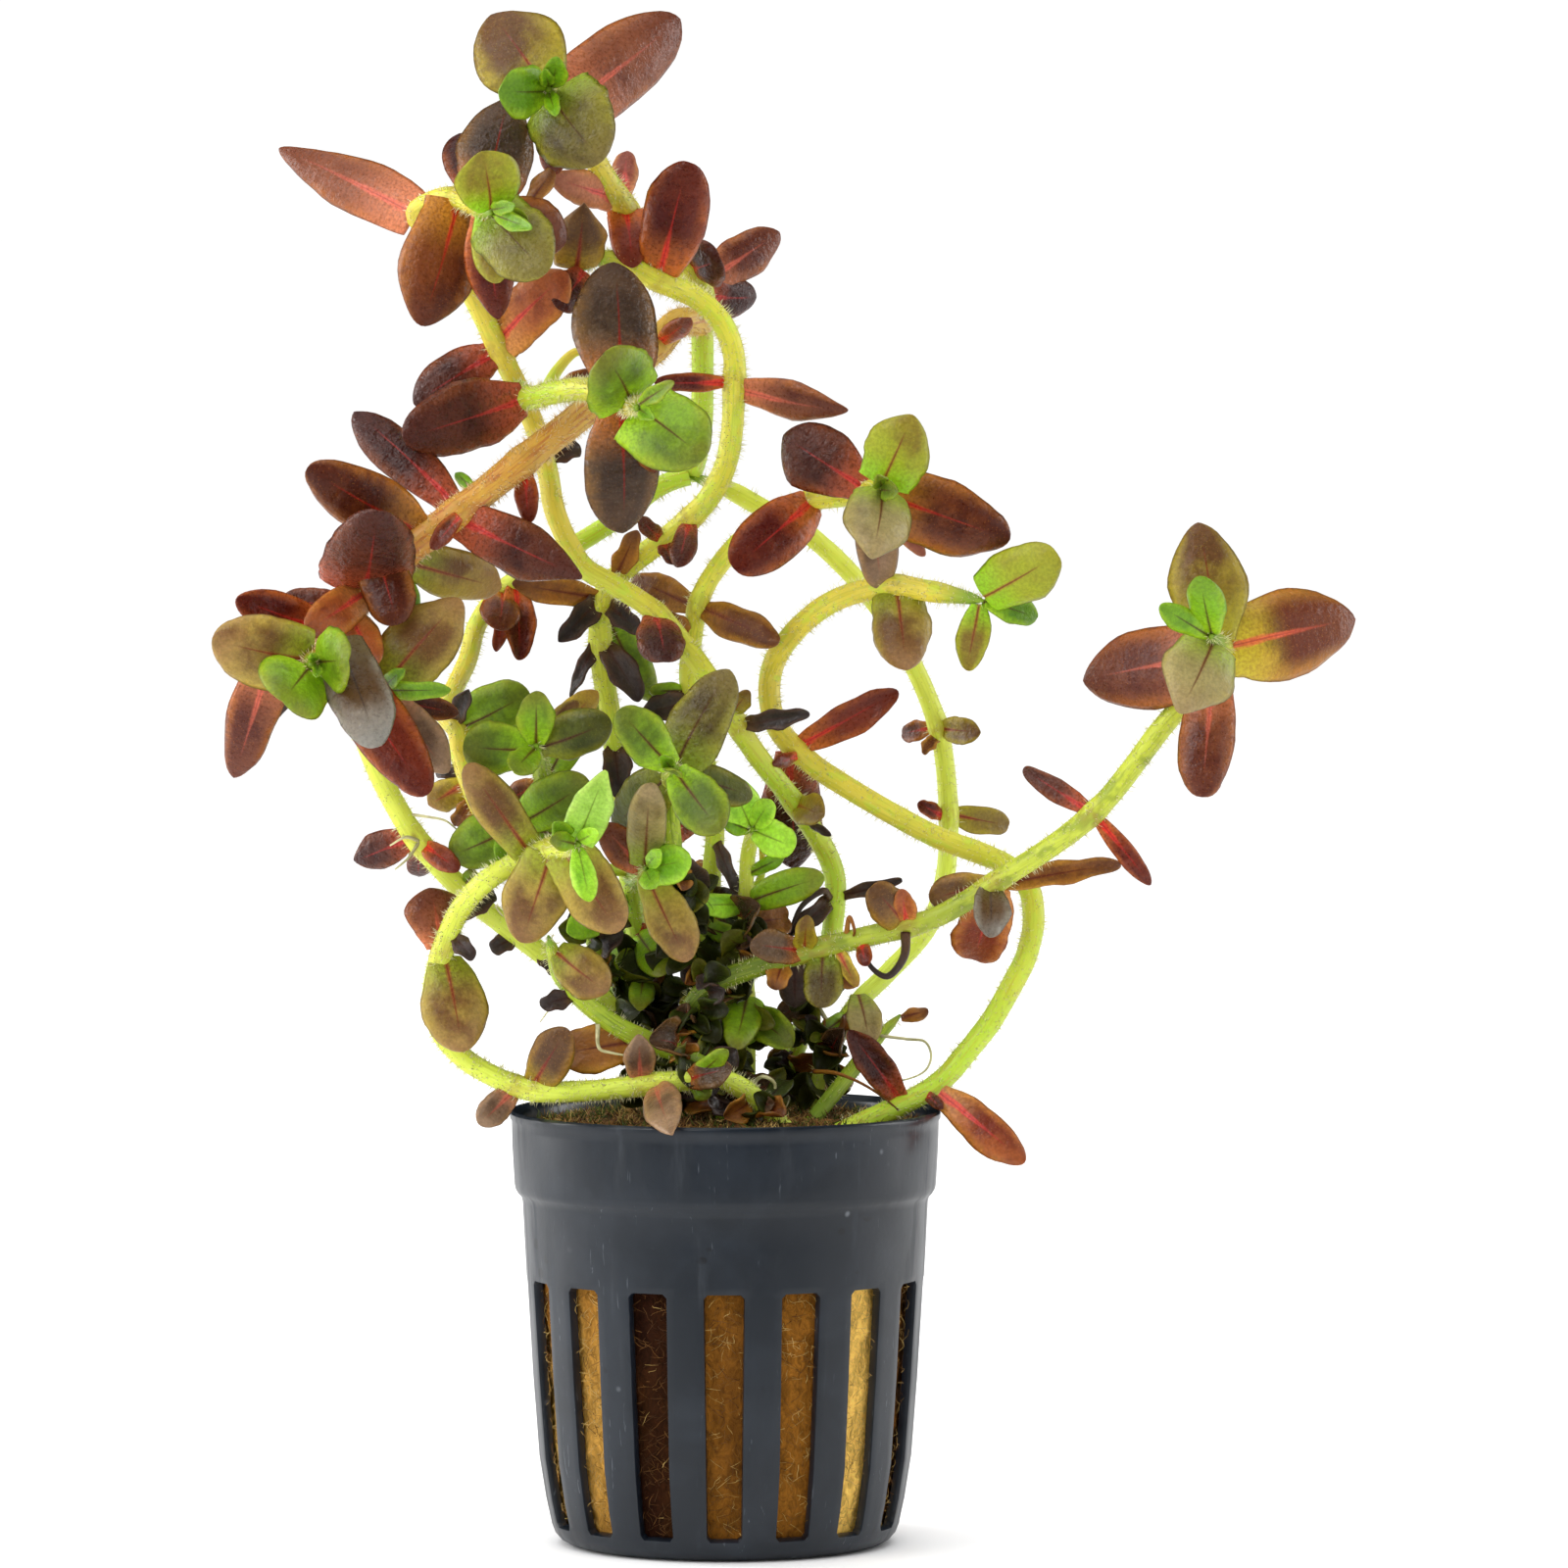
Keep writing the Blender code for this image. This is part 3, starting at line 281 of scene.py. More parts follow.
# The leaves of each stem, a line for each: its node, if it has one, and its kind; where it leaves the stem;
# its tip; its width; and what is special in its roll, its bow and its shape. One shape option is painted
# shade: a direction, across and up, in which the blade's colour is painted darker.
LEAVES = read_leaves("""
top_shoot_stem
top_upper_leaf: olive -21.6 170.4 -8 -27.3 178.9 -5 10.4 bow=0.6 cup=-22 dark=0.9 gloom=-1.4,0.4
top_front_leaf: bronze -19 169.8 -9 -14.3 161.9 -12 10 bow=1.5 foot=0.3 dark=0.4 gloom=-0.6,-0.6
top_right_leaf: rose -18.5 169.2 -4.5 -5.2 178.5 2 9.2 bow=0.5 foot=0.22 blunt=0.4 dark=0.2 gloom=0.2,0.3
lime -20.5 170.3 -9.6 -26.5 170.1 -13 6.4 bow=0.4 cup=20
lime -20 170.5 -9.6 -19.6 174 -13 3.2 cup=40
red -20 168 -5 -20.3 160.3 -3 3.5 bow=0.4
pink -12.5 157.5 0 -20.4 160 -3 4.2 bow=0.4 foot=0.3
pink -11.8 157.5 1 -11.5 163 4 3.2
red -11.3 156.5 1 -10.9 149.4 -2 4.8 bow=0.4 foot=0.3
purple -5.4 148.6 4.5 -0.6 150.4 2 6 cup=-35 dark=1.4
rose -2.7 147.5 5 6.3 153.6 9 5.2 cup=-30 gloom=-0.6,0.6
purple -2.7 146 5 3.6 146 8 5.4 cup=-35 dark=1.2

tall_shoot_stem
upper_left_top_leaf: umber -27.8 157.5 -11 -25.3 169.4 -8 9 bow=0.8 dark=1 point=0.5
upper_left_front_leaf: bronze -26.6 156 -13.5 -20.9 148.8 -17 8.8 bow=1 foot=0.25 dark=0.1 gloom=-0.4,0.4
upper_left_lower_leaf: brown -31.2 157.4 -7.4 -35.6 142.6 -9.5 9.1 bow=1 foot=0.2 blunt=0.46 point=0.4
    dark=0.4 gloom=0.7,-0.3
far_left_top_leaf: rose -36.3 155.8 -4 -52.2 163.3 3 6.8 bow=0.8 foot=0.2 widest=0.9 point=0.6 dark=0
    gloom=0,0.4
tall_shoot_red_leaf: coral -26.8 140.8 -2 -18.5 148.8 -4 6.6 bow=0.5 foot=0.2 dark=0.2
tall_shoot_left_leaf: purple -26.8 139.5 -1.8 -36.5 133.5 -1 6 bow=0.5
citron -27.2 156.6 -14 -28.5 163 -16 7.5 bow=0.4 cup=20 dark=0.3
red -28.4 155.9 -11 -26.6 143.4 -10 5.8 bow=0.4 point=0.6
green -27.4 155.9 -13.2 -23 155 -17.5 1.8 bow=0.2 cup=60
dead 2 95.5 -1 9.9 97.2 -3 2 bow=0.6 cup=80
olive 8.5 86 1.5 11.6 85 -2 4.2 bow=0.2
purple -7.8 109 -2 -7 103.2 -4.5 5.5 cup=-40

hook_shoot_stem
hook_shoot_top_leaf: red -8 147.9 -1.5 -4.3 161.8 -4 7.4 bow=0.8 dark=0.9 blunt=0.44
hook_shoot_right_leaf: rose 2 135.3 0 14.4 132.7 -3 4.9 roll=15 bow=0.4 point=0.9 dark=0.6 gloom=0.3,0.5
khaki -17.5 148.8 -1.5 -16.5 157 -4 6 foot=0.25 point=1.1 widest=1.2
purple -16.4 148.4 -1.5 -19.6 144.6 -4 4.8 dark=1.5
red 0.2 136 0 -8.3 136 -2 2.3 bow=0.2
dead -14 105.3 2 -10 98.6 0 3.3 cup=50
green -13.8 109 3 -8.5 98.5 6 4.5
purple -4.2 119.6 1 -5.5 114.3 -2 3

diagonal_shoot_stem
left_shoot_purple_leaf: purple -32 122.2 -8 -43.5 132.5 -4 5.5 roll=20 bow=0.6
left_shoot_right_leaf: purple -31.2 120.2 -8.5 -16.8 113.1 -9 6.6 bow=0.8 point=1 foot=0.15 dark=0.3
left_shoot_upper_leaf: brown -36 119.5 -9.5 -49 126 -12 6.8 bow=0.8
left_shoot_round_leaf: purple -42.4 110.8 -9.5 -40.8 121 -15 10.2 bow=1 foot=0.35 dark=0.5 gloom=0.4,0
left_crown_left_leaf: taupe -47.4 104.4 -15 -60.2 106 -17 8.4 bow=1 foot=0.2 dark=0.7 gloom=0.2,0.3
left_crown_right_leaf: slate -45.4 105.8 -15 -40.8 93.2 -19 6.8 bow=1 free=1 foot=0.2 dark=1.1
    gloom=-0.2,1.5 blunt=0.42
left_crown_lower_leaf: red -46.8 103.6 -11 -34.9 87.6 -14 7.2 bow=0.6 dark=0.7
rose -53.4 103.4 -15.6 -57.7 89.6 -12.5 5.4 bow=0.5 free=1 foot=0.3 dark=0.9 gloom=-0.8,0
green -48.4 102.8 -16.6 -52 98.6 -20 8.4 foot=0.25 dark=0.2
green -48.3 102.9 -15.8 -44.2 103.4 -20.5 7 foot=0.25 dark=0.2
purple -43.8 109.6 -8 -52 110.5 -7 3.5
taupe -38 115.3 -8.5 -26.3 112 -3.5 6 bow=0.4 dark=0.6 gloom=0,0.8
red -31.5 121.5 -8 -34.5 116.5 -12 2.2
red -24 127 -6 -23 119.5 -6.5 2.8
red -7.5 140.6 1.5 -4 143.5 -3 2.4 bow=0.2

front_shoot_stem
front_top_leaf: umber -12.3 134.8 -12 -13 150 -9 9.9 bow=0.8 dark=0.8 gloom=0.2,0.3
front_lower_leaf: umber -12.3 133.3 -12 -12 118.3 -10 8.3 bow=0.8 dark=0.9
front_left_leaf: green -10.5 132.9 -15 -14.2 139.3 -19 8.8 bow=0.6 foot=0.3 dark=0.7 gloom=-0.4,0
front_right_leaf: green -9.9 133.2 -15.5 -2.4 127.1 -18 8.9 bow=0.6 foot=0.3 dark=0.5
front_shoot_purple_leaf: purple -23.3 134 -3.6 -37.8 129.5 -7 8.6 bow=0.6
green -10.3 133 -17.8 -6 136 -22 1.8 bow=0.2 cup=60

middle_shoot_stem
middle_shoot_lower_leaf: red 10 121.6 -0.5 1 114.2 -5 6.8 bow=0.6 blunt=0.4 dark=0.8 gloom=-0.5,-0.3
right_crown_left_leaf: purple 17 124 -3.5 6.8 129.8 -2 7.8 bow=0.8 dark=0.2
right_crown_top_leaf: citron 18.6 124.2 -6 22 132.2 -7 7.5 bow=0.6 foot=0.2 dark=0.3 point=0.5
    gloom=0.4,0.7
right_crown_front_leaf: sage 18.8 123.4 -6.5 17.2 115.3 -11 7.8 bow=1 foot=0.2 point=0.9 dark=0.3
right_crown_right_leaf: brown 17.8 122.8 -4 33.4 117.6 -4 8.3 bow=0.8 foot=0.2 dark=0.4 gloom=0.4,0.3
green 18.8 123.9 -6.8 20.3 123.3 -11 2.4 bow=0.2 cup=60
dry -3.5 109.8 2.5 -11 113 6 3.8
dry -3 109.6 2 6.3 105.5 -2 4.2 dark=1
dead -1.8 76.5 3 1.5 75.5 0 1.4 bow=0.1

right_loop_stem
right_shoot_curled_leaf: taupe 20.1 111.6 -1.2 21.3 102.2 -3 6.8 bow=1.2 cup=-60 foot=0.2 dark=1
    gloom=-0.6,-1
right_shoot_tip_leaf: citron 30.4 110.2 -4 39 115.9 -6 6.4 bow=0.4 foot=0.2 dark=0 blunt=0.42
right_loop_maroon_leaf: purple 7.6 92.6 3.5 8.2 78.9 8 7.2 bow=0.6 dark=1.5 free=1
red 8.6 93.3 3 20.3 99.8 2 3.8 cup=50
green 30 110.3 -4 35.8 108 -2 2.2 bow=0.2
citron 29.8 110.2 -3.8 28.4 102.2 -3 4 dark=0.7 twist=40

right_arch_stem
brown 25.3 95.6 9 20.8 94.7 11 2.4 bow=0.2 cup=50
olive 25.3 95.5 9 30 95 6 3.4 bow=0.2 cup=40
olive 26.4 85.3 10 33.3 84 12 3.3 cup=50
red 26 85 10 22.6 86.6 9 2 bow=0.2

right_diagonal_stem
far_right_top_leaf: olive 57 105.8 -9 55.4 119.6 -7 8.9 bow=1 dark=0.5 gloom=-0.4,0.9 point=0.5
far_right_right_leaf: sunset 58.6 104.8 -8.5 73.9 108.3 -4 9.6 bow=1 foot=0.15 dark=1 gloom=1.5,0.3
far_right_left_leaf: rose 57 105 -7 42 101 -3 8.8 bow=0.8 dark=0.7 foot=0.2
far_right_front_leaf: sage 56.6 106 -11 53.2 97.2 -14 8.5 bow=1 foot=0.2 point=0.8 dark=0.2
far_right_lower_leaf: rose 56.6 101.5 -6.3 56 87.3 -9 6.1 bow=0.8 blunt=0.4 foot=0.15 dark=0.4
    gloom=0,-0.8
lime 57 106.3 -11.6 51 109.8 -14 2.9 dark=0
lime 57.2 106.5 -11.6 55.8 113.2 -15 4.1 dark=0
purple 42.8 85.6 -5 35 90.7 -3 2.6 cup=40
red 43.6 85 -5 50 77 -4 2.4
dry 31.8 77 -4 46.5 79.5 -1 2.5 cup=60
khaki 30.8 77 -4 24 75.2 -3 4.4 bow=0.2 dark=0.6
slate 31 76.6 -4 31 70.8 -8 4.2 bow=0.4 cup=50 dark=1.3 blunt=0.4
coral 31.8 77 -3.5 29.2 68.2 0 6.2 bow=0.5 cup=40 dark=0.8 gloom=-0.4,-1.4 blunt=0.36
khaki 21.2 72.2 -4 17.2 76.8 -6 4.8 dark=0.7 foot=0.2 gloom=-0.5,0.8 blunt=0.38
umber 9.2 68.8 -4 2.9 70 -6.5 3.8 bow=0.2 cup=30 dark=0.5 blunt=0.38 gloom=0.9,0
bronze 11.5 69.2 -4 11.3 62.5 -7 4.5 bow=0.4 dark=0.7 blunt=0.4

left_loop_stem
left_loop_lower_leaf: taupe -33.6 68.5 -8.4 -30.9 57.3 -13 7.6 bow=0.8 dark=0.7
left_crown_big_leaf: taupe -18.9 81.1 -11.5 -12.4 71.5 -14 7 bow=0.6 foot=0.2 dark=0.3 gloom=0.8,-0.2
rose -33.5 69.5 -8 -34.8 76.6 -6 7 bow=0.4 widest=1.7 dark=0.4
khaki -22.5 53.3 -11.5 -18.5 60 -13 5 bow=0.4 dark=1.2 foot=0.12
ash -24.8 52.8 -11 -29 48.7 -13 3.8 dark=1
ash -8 53.2 -12 -6.2 47.5 -28.5 4.8 bow=0.6 dark=0.5 point=0.8
ash -10 53.8 -12 -10.2 59.4 -13 4 point=0.8 dark=1.2
mint -17.2 82 -14.5 -14 90.4 -17 5 cup=30 point=0.8 foot=0.2 dark=0.4
fresh -17.3 81.6 -14.6 -16 75 -18 2.9 bow=0.2 dark=0.8
green -17.4 81.9 -14.8 -20.5 82.4 -18 2.4 bow=0.2
taupe -20 81 -10.5 -24 70.2 -12 7 bow=0.4 foot=0.2 dark=0.6
taupe -23 80.4 -9.8 -30.4 91.2 -11.5 5.2 bow=0.5 foot=0.18 dark=0.7

low_left_stem
taupe -20.3 69.6 -9 -13.8 64.4 -12 5.8 bow=0.4 dark=0.8
dry -10 58.8 -8 -19.6 57 -7 6 bow=0.4 cup=20 dark=0

left_stem
left_shoot_big_leaf: taupe -40.2 100.5 -10.5 -31 110.5 -9 8 bow=1 foot=0.15 point=0.4 dark=0.7
    gloom=-0.2,-0.3
ash -40.4 99.6 -10.5 -32.5 90.2 -10 5 bow=0.4 dark=0.3 foot=0.15
purple -36.8 82.6 -4 -43.6 79.8 -2 4.6 point=0.6
purple -35.6 81.8 -4 -36 78 -1 3 bow=0.2
red -35.4 82 -4 -31.3 78.7 -7 2.8 bow=0.2

left_arch_stem
green -24.8 83.4 -5.4 -32.4 80.4 -5 6.2 bow=0.4 foot=0.2 dark=0.5
green -24.3 84.2 -5.6 -16 89.3 -8 6.2 bow=0.4 dark=0.3 gloom=0.8,0.4
green -24.1 83.6 -5.6 -17 82.6 -5 3
green -31.2 95.4 1 -23 99.7 0 6.2 bow=0.4

centre_left_stem
green -22.1 93.6 -9.6 -22.2 99.8 -11 4.3 cup=30
moss -21.9 93 -9 -13.4 96.3 -10 5.4 bow=0.4 dark=0.6 gloom=0.4,0.3
green -22.4 92.8 -8.6 -30.8 93.3 -10 6.5 bow=0.4 dark=0.6 gloom=-1.2,0
green -22.2 93.2 -9.7 -24.8 90.3 -14 3.5 bow=0.2
green -21.4 89 -3.6 -15.5 99 -1 4.5

centre_stem
centre_olive_leaf: bronze -5.5 91 -10 0.5 102.3 -9 6.8 bow=0.8 foot=0.2 dark=0.6 gloom=0.3,0.9
green -6.2 90.9 -12 -12.5 97.6 -13 5.5 bow=0.4
green -5.8 90.6 -12.4 -0.5 83.3 -15 6 bow=0.4
moss -5.8 90.4 -10 3.2 87.4 -8 4.6
moss -6.6 90 -8.6 -13.2 83.7 -3.5 5.8 foot=0.2
green -6 90.8 -12.8 -6 90.6 -16.5 2.4 bow=0 cup=40

side_shoot_stem
sage -9.4 79 -6 -8.8 89 -11.5 4.5 bow=0.4 foot=0.2 dark=0.5
fresh -9.2 79.4 -6.6 -4 79.9 -9.5 4.8 foot=0.3 dark=0.9
taupe -9.4 78.6 -5.5 -4.3 68 -7.5 5.6 bow=0.4 dark=0.3 gloom=0.4,-0.6
rose -9.6 78.4 -5 -14.5 84 -6 4.4 dark=0.6

bright_shoot_stem
fresh 3.2 83.4 -4 0.2 89.6 -6 4.8 dark=0.2
fresh 3.2 83.2 -4.4 8.2 81.4 -6 4.4 dark=0.2
green 2.5 75 0 11.6 78 -3 4.2 dark=0
fresh 2.5 74.6 0 -3.6 74.5 -4 2.8 bow=0.2 dark=0.6
lime 2.6 63.5 0.5 1.5 58 -2 4.6 bow=0.2

cut_stub
dry 20.6 61.4 3.4 23.9 62.1 3 1.8 bow=0.1
""")

# The buds, the small and the withered leaves, in the same form
SMALL_LEAVES = read_leaves("""
top_shoot_stem
lime -20 170.2 -9.8 -19.7 167.2 -14 1.8 bow=0.2 cup=50
lime -20.2 170.4 -9.8 -21.2 172.6 -13 1.6 bow=0.2 cup=50
pink -20.3 168.5 -7 -16.8 164.5 -3 3.4

tall_shoot_stem
brown -27.2 156 -11 -18.6 152.4 -9 7
citron -28 155.6 -11.5 -26.6 147.6 -13 4.4
dry -23.5 156.3 -10 -20.2 160.8 -6 2.2 bow=0.1 cup=60 free=1
purple -28.3 157.2 -9.5 -31.2 165 -5 5 bow=0.4
lime -27.2 155.8 -14 -22.6 154 -19 1.9 bow=0.2 cup=60
lime -27.2 156.2 -14 -24.6 156.8 -19 1.6 bow=0.2 cup=60
dead 13.3 75.7 3.4 20.8 77.5 2.5 1.5 bow=0.4 cup=60
dead 12.4 75.5 3.2 7.4 70.9 2.2 2.2 bow=1.3 cup=70 twist=60
olive 0.8 97.4 -1 2.8 99.8 -3 2.4 bow=0.2 cup=40
dead 11 84.4 1.8 12.4 82.8 1 1 bow=0.2
dead -21 127 0 -17 128.4 0.5 2.4 cup=70

hook_shoot_stem
dead -15.2 106 2.3 -18.1 99 2 1.8 bow=0.7 twist=110 cup=50
dead -13.2 110 2.3 -10 106.6 0 2.4 cup=70
purple -7.3 117.3 2 -10.2 120.2 -1 2 bow=0.2 cup=40
purple -7.3 117.2 2 -6 114.6 0 2 bow=0.2 cup=40
dry -12.8 113.2 3 -10.4 118.7 1 2.6 cup=50
dead -13.8 112.5 2 -16.8 115 0 1.5 bow=0.2
dead -15 111 2.5 -19.6 105.6 1 2.6 bow=0.8 cup=80
dry -14.8 110.8 2.5 -25 112.4 0 3.2 cup=50
dead -13.2 93.4 3 -12.4 87 1 2.8 bow=0.4 cup=80
purple -10.6 72 5 -7.2 68.4 3 2.8 bow=0.2 cup=40
lime -11 73.4 5 -17.8 72 8 4.2
green -10.4 70 5.5 -15.6 69.8 8 4
dead -10.8 72.8 4.5 -14.4 71.4 3 1.6 cup=60
lime -9.8 68.4 5.6 -7.4 67.6 3 3.4 bow=0.2
green -12.2 70.8 4 -6.8 66.6 -3 4.4 dark=0.1
fresh -13 74.6 3 -18.6 71.4 -4 4.4 dark=0.8
green -13.4 65.2 3 -10.2 62.2 -6 3 dark=0
green -9.6 67.4 6 -12.6 68.8 3 3.4 bow=0.2
dry -9 65 6 -7.4 67.3 3.5 2.6 bow=0.2 cup=60
dead -9.2 65 6 -12.6 67.5 4 3.2 cup=50
dead -8.8 61.6 6.8 -11.8 63.2 4 3.2 bow=0.5 cup=50
green -8.9 62.6 6.8 -14.8 64.4 6 3.8
dead -8.5 60.4 6.8 -4.5 62.4 3 2.4 bow=0.5 cup=60

diagonal_shoot_stem
lime -48.4 102.6 -16.8 -48 101.4 -21.5 1.1 bow=0.2 cup=50
lime -48.2 103 -16.8 -48.6 104.2 -21.5 1.1 bow=0.2 cup=50
red -46.3 107 -9.5 -57.4 110.6 -12 5 foot=0.15
dead -48 101.6 -13 -53.6 96.8 -11 2.6 cup=60
coral -43.3 110.4 -10.5 -49.2 106.6 -14 5 bow=0.4 dark=0 foot=0.15
brown -41 117 -9.6 -38.4 107.6 -11.4 6 free=1 foot=0.2 dark=0.9 blunt=0.4
coral -43.6 110.2 -11 -41.2 102.6 -13.5 4.6 bow=0.4 dark=0 foot=0.15
lime -38.2 114.8 -8 -36.6 108.2 -6 3.2
lime -29.5 123.2 -7 -31.6 125.4 -5 1.5 bow=0.1

front_shoot_stem
brown -20.5 135.2 -5.5 -15.4 137.2 -5 1.8 bow=0.2 cup=40
brown -10.6 132.6 -14 -8.2 125.4 -11 3.2
lime -10.3 133.2 -17.8 -8.4 131.6 -22 1.5 bow=0.2 cup=60

middle_shoot_stem
ash 18.6 122.5 -3.5 18.3 111.8 -1 5 dark=0.4
pink 18.6 122.4 -3.5 23.4 115.6 -2 2.2 bow=0.2
green 18.9 123.9 -6.8 17.9 125.2 -11 1.7 bow=0.2 cup=60
dead -3.6 98.5 3 -9.9 96.9 1 3 bow=0.4 cup=70
green -4 99.8 3 -8.9 99.8 2 2.2 bow=0.2
dead -1.2 82.3 3 1.4 76.1 0 1.5 bow=0.6 cup=60
dead -1.8 76.6 3 -4.6 76.8 0 2.2 cup=50
dry -3.6 106 2.8 -6.8 109 1 2 bow=0.2 cup=50

right_loop_stem
red 8.8 92.5 3 5.6 91.2 0 1.6 bow=0.2
lime 30.4 110.4 -4 36.6 108.4 -2 3.2 bow=0.4 cup=30
purple 20.8 51.6 -4 14.5 59.9 -7 3.8 bow=0.6 cup=60 dark=1.2
coral 25.2 52.4 -3 35.2 44.2 -7 4.6 bow=0.6 foot=0.1 dark=0.8 gloom=0.3,1.5 free=1
purple 23.4 52.2 -2 25.6 50.6 -5 1.4 bow=0.1

right_arch_stem
dry 25.2 94.6 9 23.2 92.4 8 1.6 bow=0.2 cup=50
sage 15.6 64 2 17 58 -2 3.8 bow=0.4 cup=30 dark=0.5 free=1
green 14.4 62 6 10 58.6 2 2.2
dead 12.4 58 6 9.4 61.6 3 1.6 cup=60

right_diagonal_stem
coral 21.4 72.4 -4 20.8 76.5 -5.6 2.8 cup=40 dark=0.4
olive 9.3 69.3 -4 9.6 73.4 -6 2.4 bow=0.4 cup=60
dead 8.2 68 -4 8.2 62.6 -2 4.2 bow=0.4 foot=0.2
gold 13.2 69.6 -4 15.6 65 -5.5 1.8 bow=0.4 cup=50
red 16 70.3 -4 16.6 67.4 -6 2 bow=0.2
dry 6.6 68.3 -4 5.8 64.6 -5 2.6 cup=60

left_loop_stem
dead -32.3 71.2 -8 -29.6 68.2 -10 2 bow=0.2 cup=50
umber -4.6 54.4 -12 0.8 55.4 -15 3.6 bow=0.4 cup=30
green -3.8 54.6 -12 0.2 57.6 -15 2.4
green -3.6 54.4 -12 -1.8 52 -14 2.6
lime -18.4 81.8 -13.5 -20 84.4 -17 2.6 bow=0.2
fresh -17.4 81.9 -14.6 -15 83.4 -18 2 bow=0.2
dead -31.4 73.6 -7.6 -27.2 76.2 -6 2.8 cup=50

low_left_stem
dead -17.5 64.3 -8 -21.8 62.8 -9 2.2 cup=60
dead -1.6 54.6 -7 1.4 57.6 -9 3.4 bow=0.4 cup=50

left_stem
lime -40.5 100 -10.8 -32.2 100 -13 2 cup=60
lime -40.3 100.2 -10.8 -37.6 102.4 -13 1.6 cup=60
brown -40.8 98.6 -9 -31.3 97.2 -7 2.8
dry -41 98.4 -8.6 -35.4 98.2 -7 2.6
brown -40.6 100.2 -10.5 -36.8 109 -7 4 bow=0.4
green -31 76.5 -4 -29.4 78.8 -5 1.8 bow=0.2
dead -24.4 71.2 -3.3 -27.6 69.4 -3.8 2.2 cup=60
dead -22 69.2 -2.8 -19.8 66.4 -3.4 1.6 cup=60

left_arch_stem
lime -24.8 83.3 -6 -26.8 80 -9 2.6 bow=0.2
lime -26.8 84 -4 -28.8 87 -6 2.2 bow=0.2
dead -31.9 96 1 -30.1 100 -1 2 cup=70
brown -26.5 111.6 6 -26.6 107 3 5 bow=0.4
red -24.8 112.2 5.5 -24.2 103.4 4 3.6 bow=0.6 cup=60 dark=1.6
red -25.5 111.8 6 -26.9 104.4 5 1.8 cup=40
dead -29.6 106.5 6 -31.4 100.6 8 1.4 cup=50
gold -30.2 89 0 -34.9 86.4 1 3.8
dry -29.6 87.4 -0.5 -31.7 84 0.5 2.2 bow=0.2 cup=50
dead -30.6 90.4 0 -34 90.4 1 1.8 bow=0.2 cup=50

centre_left_stem
olive -21.6 92.4 -7.5 -17.3 98.6 -6 3
gold -21.6 92.6 -7.5 -15 99.8 -4 3.6
brown -21.3 88.8 -3.5 -25.6 87.2 -2 3

centre_stem
purple -6.1 82 -4.5 -4 86.4 -2 3.4
dead -6 80 -4 -2.4 76 -1 3.2 bow=0.4 cup=40
lime -6.1 90.6 -12.6 -7.4 92.2 -16.5 1.7 bow=0 cup=40

side_shoot_stem
fresh -9.3 79 -6.8 -8.2 76.6 -10 2.6 dark=0.8
fresh -9.3 79.1 -6.8 -7.6 81 -10 2 dark=0.8

bright_shoot_stem
fresh 3.2 83.4 -4.6 5.4 87 -7 2.8
lime 3 83.3 -4 -0.2 84.4 -5 2.4
dry 2.6 72.4 0 7.3 73 2 3.4 bow=0.5 cup=80
lime 2.8 78.4 0 6.9 80.4 -1 1.8 bow=0.2
green 2.4 70.6 0 -3.2 72.4 2 2.6
green 2.7 63.6 -1 1.1 57.6 -7.5 5 bow=0.5 foot=0.25 dark=0.2
green 3 62 0 8 58 -3 4 bow=0.5 dark=0.8 cup=60
""")

